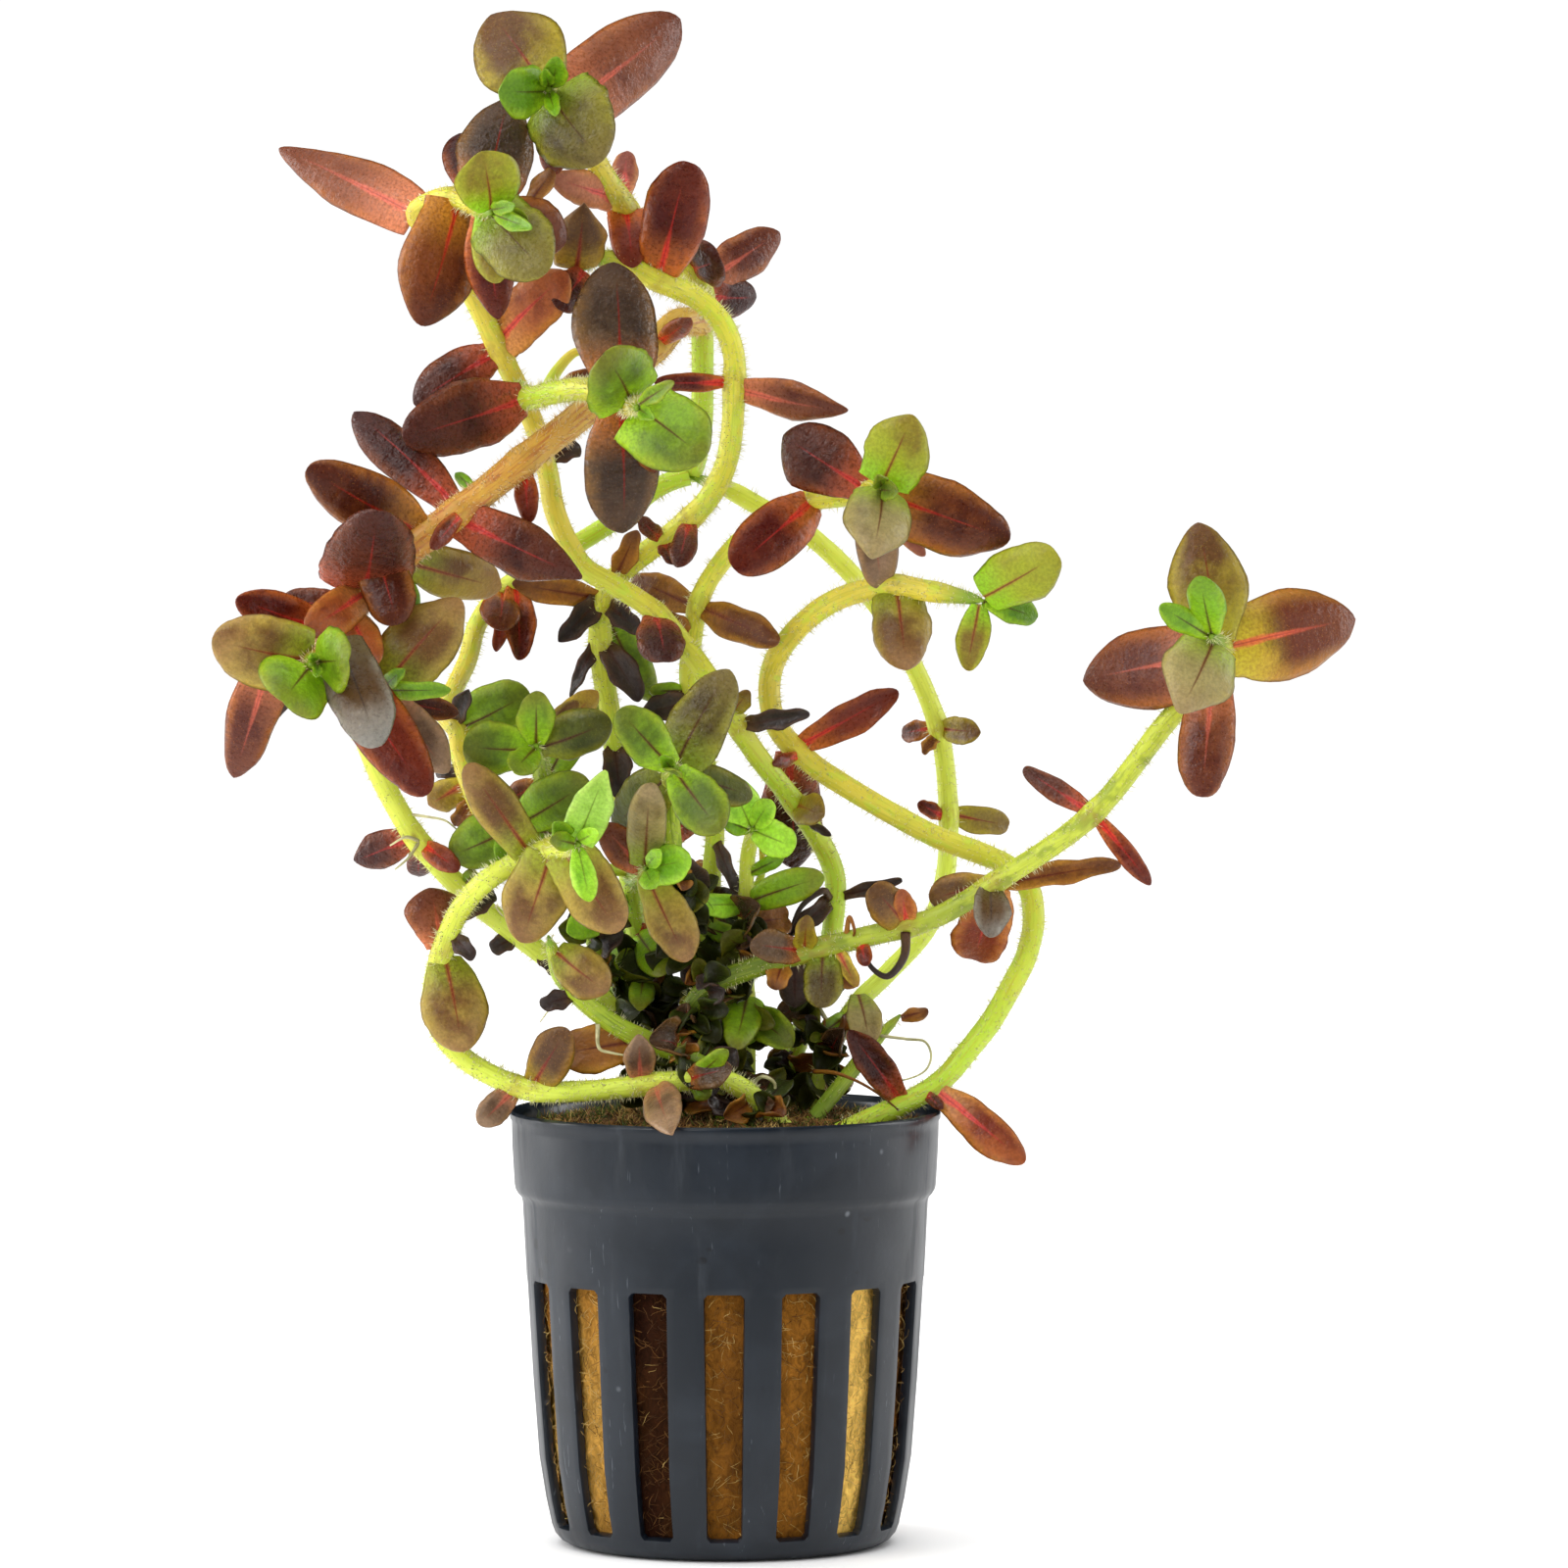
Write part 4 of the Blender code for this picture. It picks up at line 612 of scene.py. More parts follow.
# Thin threads: the stem that each belongs to, its look, its radius, and the places that it runs through
THREADS = [
    ("tall_shoot_stem", "dead", 0.5, "12.2 75.5 3, 11.5 76.3 2, 9 74.5 1.6, 7.5 71.2 2"),
    ("tall_shoot_stem", "tan", 0.9, "-21.6 133.5 0.8, -19.6 137.5 2, -17.2 139.6 2.6, -14.4 138 2"),
    ("hook_shoot_stem", "tan", 0.85, "-14.2 78.8 2, -12.4 78.6 3, -10.8 78 4.2"),
    ("bright_shoot_stem", "tan", 0.55, "3.3 76 1.2, 4.2 78 1.4, 4.3 81 0.6, 3.6 83 -1"),
    ("right_diagonal_stem", "dead", 0.6,
     "21.2 71.4 -4.8, 21 68.5 -5.4, 19 66.2 -5.4, 17 67.5 -5.2, 16.5 69.5 -4.8"),
    ("right_diagonal_stem", "dry", 0.35, "14.2 70.8 -4.2, 14.6 73.2 -4.4, 15.2 71.6 -5, 15 70.8 -4.4"),
    ("right_arch_stem", "root", 0.3, "11 62.5 5, 12.5 60 4.6, 13.2 58 4.8, 12.2 55.7 5.4"),
    ("right_arch_stem", "root", 0.25, "14.7 61.4 6, 14 58.8 4.8, 13 56.8 5.4"),
    ("cut_stub", "root", 0.2,
     "18.3 59.2 2.4, 21.5 58.8 1.6, 23.5 58.5 2, 24.2 57 2, 23.6 55.2 1, 21 54 -1, 18.4 54 -3"),
    ("cut_stub", "dry", 0.27, "10.4 55 0, 13 54.8 -2.4, 16 53.6 -4, 18.5 52 -5, 20.4 50.4 -5"),
    ("low_left_stem", "root", 0.28, "-15 60.6 -9, -14.8 57.7 -9.6, -13.4 57.2 -9.4, -11.8 56.9 -9"),
    ("low_left_stem", "root", 0.16, "-19.4 63.6 -8.6, -20.6 62.4 -9, -21.8 60.8 -9"),
    ("low_left_stem", "root", 0.3, "1.6 53.4 -7, 2.8 51.4 -8, 3.4 50.2 -8.4"),
    ("low_left_stem", "root", 0.3, "2.6 52.8 -6, 4.4 54.4 -7, 5.8 53.6 -7.4, 5.4 52.2 -7, 3.4 51.8 -7"),
    ("tall_shoot_stem", "root", 0.22, "7.2 55 8.4, 6.4 53.6 6.6, 7.6 52 6, 7 50.4 5.4"),
    ("bright_shoot_stem", "root", 0.22, "8 59.8 3, 5 59.8 0, 3.6 58.8 0.4"),
    ("left_stem", "root", 0.26, "-36 82.2 -4.6, -37.6 82.6 -5.4, -39.4 81.6 -5.6"),
    ("left_stem", "root", 0.24, "-36 82 -4.6, -37.2 80.2 -5.4, -38.8 78.8 -5.4"),
    ("left_stem", "root", 0.22, "-38 85.4 -4, -35 85 -5, -33 84.6 -5, -31.4 83.4 -4"),
    ("left_stem", "root", 0.14, "-25 71.8 -3.4, -27 74.6 -5, -26 74.2 -5.6, -24 74.6 -5.4"),
]

# Litter in the clump at the foot, dead leaves and pieces of painted shade: how many pieces cling to a stem,
# their lowest and their highest place
LITTER = {
    "hook_shoot_stem": (30, 52.0, 72.0), "middle_shoot_stem": (44, 52.0, 78.0),
    "centre_stem": (46, 52.0, 80.0), "centre_left_stem": (30, 52.0, 74.0),
    "bright_shoot_stem": (40, 52.0, 74.0), "right_diagonal_stem": (34, 52.0, 67.0),
    "tall_shoot_stem": (28, 52.0, 68.0), "left_stem": (18, 52.0, 64.0),
    "right_arch_stem": (14, 52.0, 60.0), "low_left_stem": (18, 52.5, 62.0),
    "left_loop_stem": (8, 52.0, 54.0),
}

# Leaf kinds: the tones of the middle, the blade, the margin, the foot, the tip and the midrib; then the
# midrib's half-width, reach and feathering, the specks' share and the roughness; and the finish. The grey
# tones of ash and slate are partly the leaves' own and partly a painted sheen; shade is near-black green
# for pieces of painted shade in the clump at the foot.
LEAF_KINDS = read_kinds("""
lime: 80 190 4, 150 320 6, 250 380 10, 280 460 10, 110 210 6, 90 70 8, 0.1 0.7 0.2 0.1 0.4, green_leaf
fresh: 150 360 10, 320 610 36, 430 680 70, 400 680 45, 250 460 20, 220 360 18, 0.1 0.7 0.2 0.1 0.4,
    green_leaf
green: 68 112 5, 165 300 7, 260 330 10, 280 480 10, 130 120 9, 100 16 6, 0.15 0.78 0.3 0.2 0.42,
    green_leaf
citron: 160 100 10, 270 300 12, 320 330 18, 230 500 10, 230 190 20, 260 50 12, 0.16 0.8 0.4 0.3 0.38,
    olive_leaf
sage: 120 85 30, 270 220 95, 330 260 90, 240 330 20, 270 190 110, 160 30 12, 0.18 0.75 0.4 0.3 0.34,
    olive_leaf
sunset: 110 22 8, 400 200 24, 380 140 18, 480 420 22, 150 40 14, 600 90 50, 0.4 0.8 0.8 0.6 0.34, red_leaf
moss: 30 36 4, 85 100 8, 200 180 12, 180 200 10, 75 70 8, 80 12 6, 0.14 0.78 0.3 0.3 0.36, green_leaf
olive: 90 36 9, 215 150 12, 340 260 16, 300 270 12, 110 45 12, 260 12 8, 0.22 0.62 0.6 0.4 0.38,
    olive_leaf
khaki: 72 30 11, 180 84 20, 300 150 22, 320 210 18, 110 48 18, 230 16 10, 0.24 0.7 0.6 0.5 0.36,
    olive_leaf
umber: 34 18 13, 105 62 42, 180 85 24, 380 110 18, 70 34 20, 340 14 10, 0.26 0.55 0.9 0.3 0.24, brown_leaf
ash: 80 42 28, 210 122 80, 310 170 90, 460 160 90, 250 155 110, 460 100 75, 0.28 0.7 0.9 0.3 0.32,
    brown_leaf
slate: 72 34 12, 165 125 108, 190 170 160, 90 66 24, 190 180 195, 70 40 36, 0.16 0.8 0.5 0.1 0.3,
    brown_leaf
taupe: 115 50 16, 320 225 44, 370 260 44, 240 300 14, 260 135 60, 260 36 14, 0.2 0.72 0.6 0.3 0.34,
    olive_leaf
bronze: 52 34 12, 140 118 20, 250 230 24, 170 250 10, 150 110 35, 100 24 12, 0.18 0.6 0.4 0.3 0.3,
    olive_leaf
mint: 180 340 30, 300 500 85, 400 580 120, 300 560 45, 300 440 70, 180 290 20, 0.1 0.7 0.2 0.1 0.38,
    green_leaf
brown: 50 8 3, 140 34 9, 320 105 14, 450 180 16, 75 16 8, 460 16 10, 0.3 0.58 1 0.5 0.31, brown_leaf
purple: 34 7 6, 82 20 12, 190 50 15, 420 80 36, 48 11 9, 500 30 32, 0.36 0.5 1 0.25 0.29, purple_leaf
rose: 78 16 10, 180 52 26, 330 100 20, 560 170 85, 110 30 18, 580 110 80, 0.38 0.7 1 0.6 0.3, red_leaf
red: 60 4 2, 160 22 8, 360 85 14, 520 130 22, 85 12 6, 600 20 18, 0.4 0.56 1 0.4 0.3, red_leaf
coral: 140 20 8, 320 80 22, 460 170 28, 560 240 70, 200 50 20, 600 36 40, 0.38 0.75 1 0.5 0.34, red_leaf
pink: 210 45 30, 420 150 85, 520 240 100, 580 220 120, 200 55 40, 640 90 95, 0.6 0.7 1 0.4 0.38, red_leaf
gold: 190 110 10, 330 240 16, 460 330 30, 500 400 30, 230 100 18, 420 50 30, 0.4 0.75 0.7 0.4 0.38,
    olive_leaf
shade: 8 11 1, 20 30 2, 50 66 5, 46 56 4, 18 16 2, 20 8 2, 0.12 0.7 0.2 0.2 0.42, green_leaf
dead: 16 11 12, 40 26 28, 85 38 26, 90 40 14, 30 20 22, 50 14 10, 0.22 0.8 0.4 0.3 0.34, brown_leaf
dry: 100 26 6, 270 95 14, 460 210 28, 320 140 14, 75 20 6, 150 24 8, 0.3 0.8 0.6 0.5 0.4, brown_leaf
""", LeafKind)

# Stem kinds: the tones of the foot, the tip and the streaks, and the specks' share. The shaded stem's dark
# foot is painted shade.
STEM_KINDS = read_kinds("""
lime_stem: 600 730 70, 620 680 60, 500 580 38, 0.4, lime_stem
green_stem: 200 330 10, 440 560 30, 150 240 8, 0.5, lime_stem
shaded_stem: 100 165 5, 520 590 40, 300 360 14, 0.4, lime_stem
olive_stem: 480 680 36, 680 640 50, 460 530 28, 0.6, olive_stem
tan_stem: 450 660 34, 680 560 50, 490 450 28, 0.5, tan_stem
orange_stem: 620 400 55, 560 250 36, 400 85 24, 0.7, tan_stem
""", StemKind)


def brighter(tone, factor):
    """A tone times a factor, with no channel above 1."""
    return tuple(min(1.0, part * factor) for part in tone)


# Materials


class Recipe:
    """A material's node tree, with short calls for the nodes that the recipes below use."""

    def __init__(self, name, roughness=0.5, shine=0.5):
        self.material = bpy.data.materials.new(name)
        self.material.use_nodes = True
        self.tree = self.material.node_tree
        self.shader = self.tree.nodes["Principled BSDF"]
        self.rough(roughness)
        self.link(shine, self.shader.inputs["Specular IOR Level"])

    def link(self, value, socket):
        if isinstance(value, bpy.types.NodeSocket):
            self.tree.links.new(value, socket)
        elif isinstance(value, tuple) and len(socket.default_value) == 4:
            socket.default_value = (*value, 1.0)
        else:
            socket.default_value = value

    def node(self, kind, inputs=None, **settings):
        """A node with settings; each input is a value or another node's output."""
        made = self.tree.nodes.new(kind)
        for name, value in settings.items():
            setattr(made, name, value)
        for name, value in (inputs or {}).items():
            self.link(value, made.inputs[name])
        return made

    def attribute(self, name):
        return self.node("ShaderNodeAttribute", attribute_name=name).outputs["Vector"]

    def place(self):
        return self.node("ShaderNodeTexCoord").outputs["Object"]

    def split(self, vector):
        return self.node("ShaderNodeSeparateXYZ", {0: vector}).outputs

    def join(self, x, y, z):
        return self.node("ShaderNodeCombineXYZ", {0: x, 1: y, 2: z}).outputs[0]

    def scaled(self, vector, factors):
        return self.node("ShaderNodeVectorMath", {0: vector, 1: factors}, operation="MULTIPLY").outputs[0]

    def math(self, operation, *values):
        return self.node("ShaderNodeMath", dict(enumerate(values)), operation=operation).outputs[0]

    def chain(self, operation, values):
        result = values[0]
        for value in values[1:]:
            result = self.math(operation, result, value)
        return result

    def times(self, *values):
        return self.chain("MULTIPLY", values)

    def plus(self, *values):
        return self.chain("ADD", values)

    def noise(self, vector, scale, detail=3.0, roughness=0.55, distortion=0.0):
        inputs = {"Vector": vector, "Scale": scale, "Detail": detail, "Roughness": roughness}
        return self.node("ShaderNodeTexNoise", {**inputs, "Distortion": distortion}).outputs["Fac"]

    def cells(self, vector, scale):
        return self.node("ShaderNodeTexVoronoi", {"Vector": vector, "Scale": scale}).outputs["Distance"]

    def band(self, value, low, high, to_low=0.0, to_high=1.0):
        """A smooth step from to_low, where the value is low, to to_high, where it is high."""
        inputs = {"Value": value, "From Min": low, "From Max": high, "To Min": to_low, "To Max": to_high}
        return self.node("ShaderNodeMapRange", inputs, interpolation_type="SMOOTHSTEP").outputs[0]

    def mix(self, share, a, b, blend="MIX"):
        inputs = {0: share, 6: a, 7: b}
        return self.node("ShaderNodeMix", inputs, data_type="RGBA", blend_type=blend).outputs[2]

    def colour(self, value):
        self.link(value, self.shader.inputs["Base Color"])

    def rough(self, value):
        self.link(value, self.shader.inputs["Roughness"])

    def bump(self, height, strength, distance):
        made = self.node("ShaderNodeBump", {"Strength": strength, "Distance": distance, "Height": height})
        self.link(made.outputs[0], self.shader.inputs["Normal"])

    def inside(self, weight, radius, scale):
        """Light that goes into the piece and out again."""
        for name, value in (("Weight", weight), ("Radius", radius), ("Scale", scale)):
            self.shader.inputs["Subsurface " + name].default_value = value


def leaf_material(kind, look):
    """A blade with a dark middle and painted shade to one side, margins that glow with painted light over
    their own lighter tone, a light foot, a feathered midrib, golden specks that also stand as painted
    glints, and creases.
    """
    r = Recipe(kind + "_leaf", look.gloss, LEAF_SHINE)
    x, y, seed = r.split(r.attribute("blade"))
    edge, share, own = r.split(r.attribute("share"))
    shift = r.times(seed, 0.37)
    at = r.join(x, y, shift)
    clouds = r.noise(at, 0.20, 2.0, 0.5, 0.3)
    patches = r.noise(at, 0.62, 4.0, 0.6, 0.2)
    grain = r.noise(at, 2.6, 3.0, 0.6)

    # The third share value is the leaf's own darkness plus its painted shade towards one side; both darken
    # the blade here.
    depth = r.band(r.plus(clouds, r.times(patches, 0.6), r.times(own, 0.42), -0.51), 0.26, 0.76)
    tone = r.mix(r.times(depth, r.band(edge, 1.0, 0.45, 0.40, 1.0)), look.body, look.dark)
    # Painted glow: light that shines through the thin margins, laid over the margins' own lighter tone.
    glow = r.times(r.band(edge, 0.45, 1.0), r.band(patches, 0.36, 0.60, 0.2, 0.85))
    tone = r.mix(glow, tone, look.margin)
    aged = r.times(r.band(share, 0.50, 1.0), r.band(clouds, 0.65, 0.35, 0.35, 0.9))
    tone = r.mix(aged, tone, look.tip)
    near_foot = r.times(r.band(share, 0.48, 0.04), r.band(grain, 0.3, 0.6, 0.6, 1.0), 0.8)
    tone = r.mix(near_foot, tone, look.foot)

    off_rib = r.math("ABSOLUTE", x)
    comb = r.noise(r.join(r.times(x, 3.6), r.times(y, 0.5), shift), 1.1, 3.0, 0.7)
    spread = r.math("MULTIPLY_ADD", r.plus(comb, -0.5), 3.2 * look.feathering, 1.0)
    rib_half = r.times(r.band(share, look.rib_reach, 0.0), spread, look.rib_width)
    streak = r.band(r.math("SUBTRACT", off_rib, rib_half), 0.26, -0.14)
    reach = r.band(share, look.rib_reach, look.rib_reach * 0.5)
    tone = r.mix(r.times(streak, reach, 0.85), tone, look.rib)
    line = r.times(r.band(off_rib, 0.13, 0.04), r.band(share, 0.85, 0.6, 0.0, 0.7))
    tone = r.mix(line, tone, brighter(look.rib, 0.5))

    # Light specks: the leaf's own golden specks, which also stand as painted glints.
    dots = r.band(r.cells(at, 3.6), 0.24, 0.10)
    dotted = r.times(dots, r.band(depth, 0.1, 0.9, 0.3, 1.0), look.specks * 0.8)
    tone = r.mix(dotted, tone, brighter(look.margin, 1.3))
    shade = r.band(grain, 0.3, 0.7, 0.90, 1.22)
    tone = r.mix(1.0, tone, r.join(shade, shade, r.times(shade, 0.8)), "MULTIPLY")
    r.colour(r.mix(r.band(edge, 0.95, 0.99, 0.0, 0.45), tone, brighter(look.dark, 0.5)))
    r.rough(r.math("MULTIPLY_ADD", grain, 0.24, look.gloss - 0.12))

    grains = r.band(r.cells(r.join(x, y, r.plus(shift, 3.0)), 2.6), 0.42, 0.10)
    creases = r.noise(r.join(x, r.times(y, 0.8), shift), 2.0, 3.0, 0.6, 0.8)
    relief = r.plus(r.times(r.noise(at, 0.9, 2.0, 0.5), 1.8), r.times(grains, 0.12), r.times(creases, 0.8))
    r.bump(relief, 0.9, COARSE_RELIEF if kind in LEATHERY else FINE_RELIEF)
    r.inside(0.08, (1.0, 0.35, 0.08), 0.0005)
    return r.material


def stem_material(kind, look):
    """Tone along the stem, lengthwise streaks, brown specks, and a darker ring at each node."""
    r = Recipe(kind, 0.42)
    along, around, seed = r.split(r.attribute("blade"))
    ring, share, _ = r.split(r.attribute("share"))
    at = r.join(along, r.times(around, 2.0), seed)
    wander = r.math("MULTIPLY_ADD", r.noise(at, 0.12), 0.5, -0.25)
    tone = r.mix(r.band(r.plus(share, wander), 0.10, 0.70), look.foot, look.tip)
    tone = r.mix(r.band(r.noise(at, 0.4, 2.0), 0.48, 0.66, 0.0, 0.55), tone, look.foot)
    streak = r.noise(r.join(r.times(along, 0.22), r.times(around, 5.0), seed), 1.0, 3.0)
    tone = r.mix(r.band(streak, 0.48, 0.66, 0.0, 0.7), tone, look.vein)
    tone = r.mix(r.band(streak, 0.45, 0.25, 0.0, 0.25), tone, brighter(look.tip, 1.25))
    dots = r.band(r.cells(r.join(along, r.times(around, 1.4), seed), 2.2), 0.22, 0.10)
    chance = r.band(r.noise(at, 0.5, 2.0), 0.48, 0.64)
    tone = r.mix(r.times(dots, chance, look.specks), tone, (0.16, 0.060, 0.010))
    at_node = r.times(ring, r.band(r.noise(at, 0.8), 0.35, 0.65, 0.0, 0.55))
    tone = r.mix(at_node, tone, (0.34, 0.20, 0.020))
    r.colour(r.mix(r.band(share, 0.94, 0.99, 0.0, 0.9), tone, (0.16, 0.30, 0.010)))
    r.bump(r.plus(streak, r.times(r.noise(at, 3.0), 0.4)), 0.5, 0.00015)
    r.inside(0.15, (1.0, 0.8, 0.2), 0.0009)
    return r.material


def hair_material(name, low, high):
    r = Recipe(name)
    r.colour(r.mix(r.noise(r.place(), 900.0, 2.0), low, high))
    r.inside(0.3, (1.0, 1.0, 0.8), 0.0003)
    return r.material


def pot_material():
    """Dark slate moulded plastic with runs, white specks that are partly painted glints, dark drops and
    faint scratches.
    """
    r = Recipe("net_pot_plastic", 0.34)
    at = r.place()
    clouds = r.noise(at, 90.0, 5.0, 0.6, 0.4)
    tone = r.mix(r.band(clouds, 0.35, 0.7), (0.0055, 0.0090, 0.0145), (0.0115, 0.0165, 0.0245))
    runs = r.noise(r.scaled(at, (1.0, 1.0, 0.12)), 420.0, 4.0, 0.6)
    tone = r.mix(r.band(runs, 0.58, 0.8, 0.0, 0.35), tone, (0.045, 0.056, 0.072))
    # White specks: the plastic's own pale specks, and painted glints.
    specks = r.band(r.cells(at, 300.0), 0.16, 0.05)
    specks = r.times(specks, r.band(r.noise(at, 160.0, 2.0), 0.55, 0.7), 0.6)
    tone = r.mix(specks, tone, (0.22, 0.24, 0.27))
    drops = r.band(r.cells(r.scaled(at, (1.0, 1.0, 1.4)), 260.0), 0.26, 0.20)
    drops = r.times(drops, r.band(r.noise(at, 130.0, 2.0), 0.58, 0.62), 0.8)
    tone = r.mix(drops, tone, (0.003, 0.004, 0.006))
    lines = r.noise(r.scaled(at, (3.0, 3.0, 0.35)), 700.0, 2.0, 0.5, 1.2)
    scratch = r.times(r.band(lines, 0.68, 0.74), r.band(clouds, 0.45, 0.6))
    r.colour(r.mix(r.times(scratch, 0.4), tone, (0.16, 0.18, 0.21)))
    r.rough(r.math("MULTIPLY_ADD", r.band(runs, 0.45, 0.75), 0.2, 0.28))
    r.bump(r.plus(r.noise(at, 260.0, 3.0), r.times(scratch, -0.5)), 0.25, 0.0002)
    return r.material


def rockwool_material():
    """Matted fibre, ochre where dry and dark brown where damp: each front slot shows its own tone."""
    r = Recipe("rockwool", 0.95, 0.1)
    at = r.place()
    x, y, _ = r.split(at)
    damp = r.noise(r.scaled(at, (1.0, 1.0, 0.25)), 75.0, 3.0, 0.5)
    wet = r.band(damp, 0.36, 0.64, 0.25, 0.75)
    for centre, amount in STAINS:
        here = r.band(r.math("ABSOLUTE", r.plus(x, -centre)), 0.0042, 0.0030)
        front = r.times(here, r.band(y, 0.0, -0.006))
        stain = r.band(damp, 0.3, 0.7, amount - 0.10, amount + 0.10)
        wet = r.plus(r.times(wet, r.math("SUBTRACT", 1.0, front)), r.times(stain, front))
    tone = r.mix(r.band(wet, 0.0, 0.5), (0.95, 0.60, 0.14), (0.28, 0.11, 0.014))
    tone = r.mix(r.band(wet, 0.45, 1.0), tone, (0.022, 0.006, 0.002))
    mat = r.noise(r.scaled(at, (1.0, 1.0, 0.6)), 900.0, 5.0, 0.7, 1.5)
    grey = r.band(mat, 0.25, 0.75, 0.55, 1.45)
    r.colour(r.mix(1.0, tone, r.join(grey, grey, r.times(grey, 0.95)), "MULTIPLY"))
    r.bump(mat, 0.9, 0.0006)
    return r.material


def fibre_material(name, low, high, roughness=0.8):
    """Thin things in two tones: fibres, moss, roots."""
    r = Recipe(name, roughness, 0.2)
    at = r.place()
    r.colour(r.mix(r.band(r.noise(at, 500.0, 3.0), 0.35, 0.65), low, high))
    r.bump(r.noise(at, 3000.0, 2.0), 0.3, 0.0001)
    return r.material


# Mesh building


def add_object(name, data):
    made = bpy.data.objects.new(name, data)
    bpy.context.scene.collection.objects.link(made)
    return made


def turned(radius, angle, height):
    """A place around the pot's axis."""
    return Vector((radius * math.cos(angle), radius * math.sin(angle), height))


class Builder:
    """Collects points and faces of one piece, with the two vectors that the materials read."""

    def __init__(self):
        self.points = []
        self.blade = []
        self.share = []
        self.faces = []
        self.slots = []

    def point(self, place, blade=(0, 0, 0), share=(0, 0, 0)):
        self.points.append(place * MM)
        self.blade.extend(blade)
        self.share.extend(share)
        return len(self.points) - 1

    def face(self, corners, slot=0):
        self.faces.append(corners)
        self.slots.append(slot)

    def loft(self, rings, slot=0):
        """Skins closed rings of equal length and caps both ends."""
        count = len(rings[0])
        for low, high in zip(rings, rings[1:]):
            for step in range(count):
                after = (step + 1) % count
                self.face((low[step], low[after], high[after], high[step]), slot)
        self.face(tuple(reversed(rings[0])), slot)
        self.face(tuple(rings[-1]), slot)

    def make(self, name, materials):
        mesh = bpy.data.meshes.new(name)
        mesh.from_pydata(self.points, [], self.faces)
        for label, values in (("blade", self.blade), ("share", self.share)):
            layer = mesh.attributes.new(label, "FLOAT_VECTOR", "POINT")
            layer.data.foreach_set("vector", values)
        for each in materials:
            mesh.materials.append(each)
        mesh.polygons.foreach_set("material_index", self.slots)
        mesh.polygons.foreach_set("use_smooth", [True] * len(self.faces))
        mesh.update()
        return add_object(name, mesh)


def between(first, second, low, high, t):
    """The point at t on the line that is at the first point at low, and at the second at high."""
    return first * ((high - t) / (high - low)) + second * ((t - low) / (high - low))


def curve_through(places, step):
    """Points a step apart on a smooth curve through the places (centripetal Catmull-Rom)."""
    ends = [places[0] * 2 - places[1]] + places + [places[-1] * 2 - places[-2]]
    points = []
    for before, start, end, after in zip(ends, ends[1:], ends[2:], ends[3:]):
        count = max(1, round((end - start).length / step))
        t0 = 0.0
        t1 = t0 + max(1e-4, (start - before).length ** 0.5)
        t2 = t1 + max(1e-4, (end - start).length ** 0.5)
        t3 = t2 + max(1e-4, (after - end).length ** 0.5)
        for index in range(count):
            t = t1 + (t2 - t1) * index / count
            a = between(before, start, t0, t1, t)
            b = between(start, end, t1, t2, t)
            c = between(end, after, t2, t3, t)
            low = between(a, b, t0, t2, t)
            high = between(b, c, t1, t3, t)
            points.append(between(low, high, t1, t2, t))
    points.append(places[-1].copy())
    return points


def frames_along(points):
    """A direction and two steady side vectors at each point of a line."""
    side = None
    frames = []
    for index in range(len(points)):
        run = (points[min(index + 1, len(points) - 1)] - points[max(index - 1, 0)]).normalized()
        if side is None:
            side = run.orthogonal().normalized()
        side = (side - run * side.dot(run)).normalized()
        frames.append((run, side, run.cross(side)))
    return frames


def tube(build, points, radius_at, sides, slot=0, seed=0.0):
    """A closed tube along points; radius_at(index, angle) is its radius there."""
    total = len(points) - 1
    run = 0.0
    rings = []
    for index, (point, (_, side, up)) in enumerate(zip(points, frames_along(points))):
        if index:
            run += (point - points[index - 1]).length
        ring = []
        for step in range(sides):
            angle = FULL_TURN * step / sides
            place = point + (side * math.cos(angle) + up * math.sin(angle)) * radius_at(index, angle)
            ring.append(build.point(place, (run, angle, seed), (0.0, index / total, seed)))
        rings.append(ring)
    build.loft(rings, slot)
    return rings


def spike(build, foot, way, long, radius, slot):
    """A three-sided closed cone."""
    side = way.orthogonal().normalized()
    up = way.cross(side)
    ring = []
    for step in range(3):
        angle = FULL_TURN * step / 3
        ring.append(build.point(foot + (side * math.cos(angle) + up * math.sin(angle)) * radius))
    end = build.point(foot + way * long, share=(0, 1, 0))
    build.face(tuple(reversed(ring)), slot)
    for step in range(3):
        build.face((ring[step], ring[(step + 1) % 3], end), slot)


def strand(build, places, radius, slot, sides, step):
    """A thin thread, root or fibre through places in space, which thins towards its end."""
    points = curve_through(places, step)
    total = len(points) - 1

    def radius_at(index, _angle):
        return radius * (1.0 - THREAD_TAPER * index / total)

    tube(build, points, radius_at, sides, slot)


def nearest(path, place):
    """The closest point of a line to a place, and the line's direction there."""
    best = None
    for start, end in zip(path, path[1:]):
        run = end - start
        point = start + run * limited((place - start).dot(run) / run.length_squared)
        distance = (place - point).length
        if best is None or distance < best[0]:
            best = (distance, point, run.normalized())
    return best[1], best[2]


def axis_points(stem):
    """A stem's axis, from inside the plug or from the axis of the stem that it forks from."""
    path = list(stem.places)
    if stem.parent:
        root, _ = nearest(STEMS[stem.parent].places, path[0])
        path.insert(0, root)
    else:
        run = (path[1] - path[0]).normalized()
        path[0] = path[0] - run * ((path[0].z - PLUG_TOP + 3.0) / run.z)
    return path


# Leaves and stems


def outline(share, foot, blunt, widest):
    """Half-width of a leaf, as a part of its largest, from foot (0) to tip (1)."""
    turn = foot + (1.0 - foot) * share ** widest
    return max(0.0, math.sin(math.pi * turn)) ** blunt


